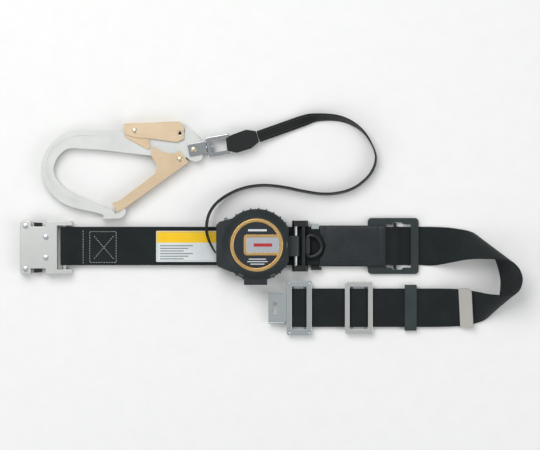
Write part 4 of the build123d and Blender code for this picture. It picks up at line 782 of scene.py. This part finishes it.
    def label(self) -> None:
        """The sewn label: a grey cloth with a yellow band and plain rules, no words."""
        low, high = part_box("sewn_label")
        panel = softened("sewn_label", LABEL_GREY, 0.15, 60)
        left, right = low.x / MM, high.x / MM
        bottom, top = low.y / MM, high.y / MM
        level = high.z / MM
        band = self.patch((left + 0.6, top - 15.4), (right - 0.6, top - 0.6), level)
        band_piece = finished("label_band", band, LABEL_YELLOW, "belt")
        rules = [
            self.patch((left + 5, top - 20 - 3.4 * row), (left + 48 - 6 * (row % 3), top - 18.8 - 3.4 * row), level)
            for row in range(6)
        ]
        rules_piece = finished("label_rules", joined(rules), LABEL_RULE, "belt")
        edge = level + 0.1
        corners = [(left + 2, bottom + 2), (right - 2, bottom + 2), (right - 2, top - 2), (left + 2, top - 2)]
        rows = [((*a, edge), (*b, edge)) for a, b in zip(corners, corners[1:] + corners[:1])]
        seam = stitch_rows("label_seam", rows, "belt", 3.0)

    def patch(self, low: tuple[float, float], high: tuple[float, float], level: float) -> bmesh.types.BMesh:
        """A thin printed or laid patch with its corners broken, from low to high at a level."""
        shape = bmesh.new()
        bmesh.ops.create_cube(shape, size=1.0)
        middle = Vector(((low[0] + high[0]) / 2, (low[1] + high[1]) / 2, level + 0.04))
        size = Matrix.Diagonal((high[0] - low[0], high[1] - low[1], 0.16, 1.0))
        matrix = Matrix.Scale(MM, 4) @ Matrix.Translation(middle) @ size
        bmesh.ops.transform(shape, matrix=matrix, verts=shape.verts)
        upright = [e for e in shape.edges if abs((e.verts[0].co - e.verts[1].co).z) > 1e-6]
        bmesh.ops.bevel(
            shape, geom=upright, offset=0.5 * MM, segments=3, profile=0.5, material=-1, affect="EDGES",
            clamp_overlap=True,
        )
        return shape

    def sleeve(self) -> None:
        """The leather sleeve: a flattened tube, crowned, with a scooped end and pressed welts."""
        low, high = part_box("pad_sleeve")
        shape = bmesh.new()
        ring = bmesh.ops.create_circle(shape, segments=48, radius=1.0)["verts"]
        half_y, half_z = (high.y - low.y) / 2 / MM, (high.z - low.z) / 2 / MM
        mid_y, mid_z = (high.y + low.y) / 2 / MM, (high.z + low.z) / 2 / MM
        for vert in ring:
            angle = math.atan2(vert.co.y, vert.co.x)
            over = math.copysign(abs(math.cos(angle)) ** 0.42, math.cos(angle))
            rise = math.copysign(abs(math.sin(angle)) ** 0.55, math.sin(angle))
            vert.co = Vector((low.x / MM, mid_y + half_y * over, mid_z + half_z * rise))
        edges = list(shape.edges)
        span = (high.x - low.x) / MM
        steps = 64
        for step in range(1, steps + 1):
            grown = bmesh.ops.extrude_edge_only(shape, edges=edges)["geom"]
            edges = [item for item in grown if isinstance(item, bmesh.types.BMEdge)]
            fresh = [item for item in grown if isinstance(item, bmesh.types.BMVert)]
            bmesh.ops.translate(shape, verts=fresh, vec=Vector((span / steps, 0, 0)))
        for vert in shape.verts:
            along = (vert.co.x - low.x / MM) / span
            if vert.co.z > mid_z + 0.6:
                off = abs(vert.co.y - self.upper_y)
                scoop = math.sqrt(max(20.2**2 - off**2, 0.0)) + 52.2 - low.x / MM
                vert.co.x += max(scoop, 0.0) * (1 - along)
                for welt in (74.0, 142.0):
                    vert.co.z -= 0.35 * math.exp(-(((vert.co.x - welt) / 1.6) ** 2))
        bmesh.ops.recalc_face_normals(shape, faces=shape.faces)
        bmesh.ops.solidify(shape, geom=shape.faces[:], thickness=0.75)
        bmesh.ops.scale(shape, vec=Vector((MM,) * 3), verts=shape.verts)
        piece = finished("leather_sleeve", shape, LEATHER, "belt")
        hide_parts("pad_sleeve")
        mouth = []
        for side in (1, -1):
            edge_y = mid_y + side * (half_y - 3.2)
            mouth.append(((78, edge_y, high.z / MM - 0.15), (146, edge_y, high.z / MM - 0.15)))
        stitch_rows("sleeve_seam", mouth, "belt", 4.0, DARK_THREAD)


@dataclass
class Hook:
    """The scaffold hook with its gate, lever, rivets and swivel."""

    plane_z: float = 8.2
    gate: tuple[float, float] = (-117.2, 90.4)
    lever: tuple[float, float] = (-176.0, 127.3)
    clevis: tuple[float, float] = (-99.3, 102.7)
    crimp: tuple[float, float] = (-117.0, 124.0)
    hard: dict[str, tuple[Finish, float]] = field(
        default_factory=lambda: {
            "hook_body": (FORGING, 1.1),
            "hook_gate": (CHROMATE, 0.3),
            "lock_lever": (CHROMATE, 0.3),
            "lock_pawl": (CHROMATE, 0.3),
            "swivel_clevis": (CHROME, 0.6),
            "swivel_eye": (CHROME, 0.3),
            "swivel_bolt": (CHROME, 0.4),
        }
    )

    def build(self) -> None:
        """Break the hard pieces' edges and set the domed rivets."""
        for node, (finish, width) in self.hard.items():
            softened(node, finish, width)
        self.rivet("gate_rivet", self.gate, 1.4)
        self.rivet("lever_rivet", self.lever, 1.4)
        self.rivet("clevis_rivet", self.clevis, 1.2)
        ring = [(0.0, 0.0), (2.0, 0.0), (2.6, 0.35), (3.4, 0.4), (3.8, 0.0), (3.8, -0.3), (0.0, -0.3)]
        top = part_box("lock_lever")[1].z / MM
        mark = turned("crimp", ring, Vector((*self.crimp, top)), Vector((0, 0, 1)))
        finished("lever_crimp", mark, CRIMP, "grip_lever")
        dress("gate_spring", SPRING_WIRE)
        dress("lever_spring", SPRING_WIRE)

    def rivet(self, node: str, place: tuple[float, float], dome: float) -> None:
        """Turn one rivet: a plain shank with a round head that stands out at its top end.

        Args:
            node: The CAD rivet that it stands for.
            place: X and Y of its axis in millimetres.
            dome: The head's height in millimetres.
        """
        low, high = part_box(node)
        bottom, top = low.z / MM, high.z / MM
        foot = top - 1.0
        head = [(3.6 * math.cos(math.radians(a)), foot + dome * 0.72 * math.sin(math.radians(a))) for a in range(0, 90, 15)]
        profile = [(0.0, bottom), (2.0, bottom), (2.0, foot), *head, (0.0, foot + dome * 0.72)]
        shape = turned(node, profile, Vector((*place, 0.0)), Vector((0, 0, 1)))
        piece = finished(node + "_turned", shape, CRIMP, "hook")
        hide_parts(node)


@dataclass
class Reel:
    """The case, its trim and what turns inside it."""

    centre: tuple[float, float] = (-17.4, -21.0)
    hard: dict[str, tuple[Finish, float]] = field(
        default_factory=lambda: {
            "reel_front_shell": (CASE_ABS, 0.5),
            "reel_rear_shell": (CASE_ABS, 0.5),
            "bezel_ring": (GOLD, 0.25),
            "label_disc": (DISC_PRINT, 0.1),
            "badge_frame": (GOLD, 0.2),
            "badge_plate": (BADGE, 0.15),
            "retract_stop_button": (BUTTON, 0.2),
            "hinge_leaf": (POWDER_COAT, 0.6),
        }
    )
    inside: dict[str, Finish] = field(
        default_factory=lambda: {
            "drum": DRUM,
            "drum_shaft": ZINC,
            "mainspring": SPRING_WIRE,
            "lanyard_roll": RIBBON,
            "lanyard_lead": RIBBON,
            "ratchet_ring": ZINC,
            "lock_pawl_front": ZINC,
            "lock_pawl_back": ZINC,
            "pawl_pins": ZINC,
            "exit_rollers": ZINC,
            "case_screws": ZINC,
            "stop_spring": SPRING_WIRE,
        }
    )

    def build(self) -> None:
        """Break the case's edges, dress what is inside and lay the printed bars on the disc."""
        for node, (finish, width) in self.hard.items():
            softened(node, finish, width)
        for node, finish in self.inside.items():
            dress(node, finish)
        self.windows()
        self.bars()
        self.grip_rim()

    def windows(self) -> None:
        """The two pale inserts in the front's recesses."""
        parts = []
        for angle in (242.0, 298.0):
            shape = bmesh.new()
            bmesh.ops.create_cube(shape, size=1.0)
            bmesh.ops.bevel(
                shape, geom=shape.edges[:], offset=0.12, segments=2, profile=0.5, material=-1, affect="EDGES",
                clamp_overlap=True,
            )
            turn = Matrix.Rotation(math.radians(angle), 4, "Z")
            place = Matrix.Translation((*self.centre, 31.2)) @ turn @ Matrix.Translation((43.6, 0, 0))
            size = Matrix.Diagonal((3.4, 8.4, 1.4, 1.0))
            bmesh.ops.transform(shape, matrix=Matrix.Scale(MM, 4) @ place @ size, verts=shape.verts)
            parts.append(shape)
        finished("case_windows", joined(parts), WINDOW_ABS, "reel")

    def bars(self) -> None:
        """Plain printed bars above and below the badge, in place of words."""
        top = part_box("label_disc")[1].z / MM
        parts = []
        for offset, length in ((19.0, 24.0), (-18.2, 22.0), (-21.4, 26.0), (-24.6, 18.0)):
            shape = bmesh.new()
            bmesh.ops.create_cube(shape, size=1.0)
            height = 2.6 if offset > 0 else 1.2
            place = Matrix.Translation((self.centre[0] + 1.0, self.centre[1] + offset, top + 0.05))
            size = Matrix.Diagonal((length, height, 0.16, 1.0))
            bmesh.ops.transform(shape, matrix=Matrix.Scale(MM, 4) @ place @ size, verts=shape.verts)
            parts.append(shape)
        finished("disc_bars", joined(parts), PALE_PRINT, "reel")
        low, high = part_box("badge_plate")
        shape = bmesh.new()
        bmesh.ops.create_cube(shape, size=1.0)
        middle = Matrix.Translation(Vector(((low.x + high.x) / 2, (low.y + high.y) / 2, high.z)))
        bmesh.ops.transform(shape, matrix=middle @ Matrix.Diagonal((0.024, 0.0042, 0.0002, 1.0)), verts=shape.verts)
        finished("badge_bar", shape, RED_PRINT, "reel")

    def grip_rim(self) -> None:
        """Short ribs round the bevel, one behind each grip tooth."""
        parts = []
        for index in range(29):
            angle = 360.0 * index / 29
            if 150 < angle < 214 or angle < 27 or angle > 333 or 232 < angle < 308:
                continue
            shape = bmesh.new()
            bmesh.ops.create_cube(shape, size=1.0)
            bmesh.ops.bevel(
                shape, geom=shape.edges[:], offset=0.18, segments=2, profile=0.5, material=-1, affect="EDGES",
                clamp_overlap=True,
            )
            turn = Matrix.Rotation(math.radians(angle), 4, "Z")
            lean = Matrix.Rotation(math.radians(39), 4, "Y")
            place = Matrix.Translation((*self.centre, 35.6)) @ turn @ Matrix.Translation((41.6, 0, 0)) @ lean
            size = Matrix.Diagonal((8.6, 2.4, 1.4, 1.0))
            bmesh.ops.transform(shape, matrix=Matrix.Scale(MM, 4) @ place @ size, verts=shape.verts)
            parts.append(shape)
        finished("grip_ribs", joined(parts), CASE_ABS, "reel")


@dataclass
class Hardware:
    """Buckle, slide plate, bracket, frames, keeper and tip."""

    hard: dict[str, tuple[Finish, float]] = field(
        default_factory=lambda: {
            "buckle_front_plate": (ANODISED, 0.3),
            "buckle_rear_plate": (ANODISED, 0.4),
            "release_lever_upper": (BLACK_NYLON, 0.5),
            "release_lever_lower": (BLACK_NYLON, 0.5),
            "slide_plate": (POWDER_COAT, 0.3),
            "plate_bar": (BLACK_COAT, 0.3),
            "belt_bracket": (BLACK_COAT, 0.6),
            "d_ring": (BLACK_COAT, 0.2),
            "belt_stopper": (BLACK_NYLON, 0.4),
            "stopper_clip": (ZINC, 0.3),
            "tongue_frame": (ZINC, 0.4),
            "tongue_plate": (ZINC, 0.4),
            "slider_frame": (ANODISED, 0.4),
            "belt_keeper": (KEEPER, 0.4),
            "belt_tip": (TIP, 0.5),
        }
    )
    plain: dict[str, Finish] = field(
        default_factory=lambda: {
            "buckle_spacers": ZINC,
            "belt_bar": ZINC,
            "lever_springs": SPRING_WIRE,
            "frame_bar": ZINC,
            "slider_bar": ZINC,
            "hinge_pin": ZINC,
        }
    )
    rivets: tuple[tuple[float, float], ...] = ((-317.8, 3.5), (-317.8, -52.5), (-291.4, -11.1), (-291.4, -37.9))

    def build(self) -> None:
        """Break edges, dress the plain pieces and set the buckle's rivets."""
        for node, (finish, width) in self.hard.items():
            softened(node, finish, width)
        for node, finish in self.plain.items():
            dress(node, finish)
        low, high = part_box("buckle_rivets")
        bottom, top = low.z / MM, high.z / MM
        dome = [(3.7 * math.cos(math.radians(a)), top - 0.6 + 0.6 * math.sin(math.radians(a))) for a in range(0, 90, 15)]
        foot = [(r, bottom + top - z) for r, z in reversed(dome)]
        profile = [(0.0, bottom), *foot, (2.4, bottom + 0.7), (2.4, top - 0.7), *dome, (0.0, top)]
        heads = [turned("rivet", profile, Vector((*place, 0.0)), Vector((0, 0, 1))) for place in self.rivets]
        piece = finished("buckle_rivets_turned", joined(heads), ZINC, "belt")
        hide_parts("buckle_rivets")


def main() -> None:
    """Build the studio, then every sub-assembly."""
    logging.basicConfig(level=logging.INFO, format="%(message)s")
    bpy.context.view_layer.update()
    parts: list[tuple[str, Callable[[], None]]] = [
        ("studio", Studio().build),
        ("lanyard", Lanyard().build),
        ("belt", Belt().build),
        ("hook", Hook().build),
        ("reel", Reel().build),
        ("hardware", Hardware().build),
    ]
    for name, build in parts:
        LOG.info("building the %s", name)
        build()


if __name__ == "__main__":
    main()
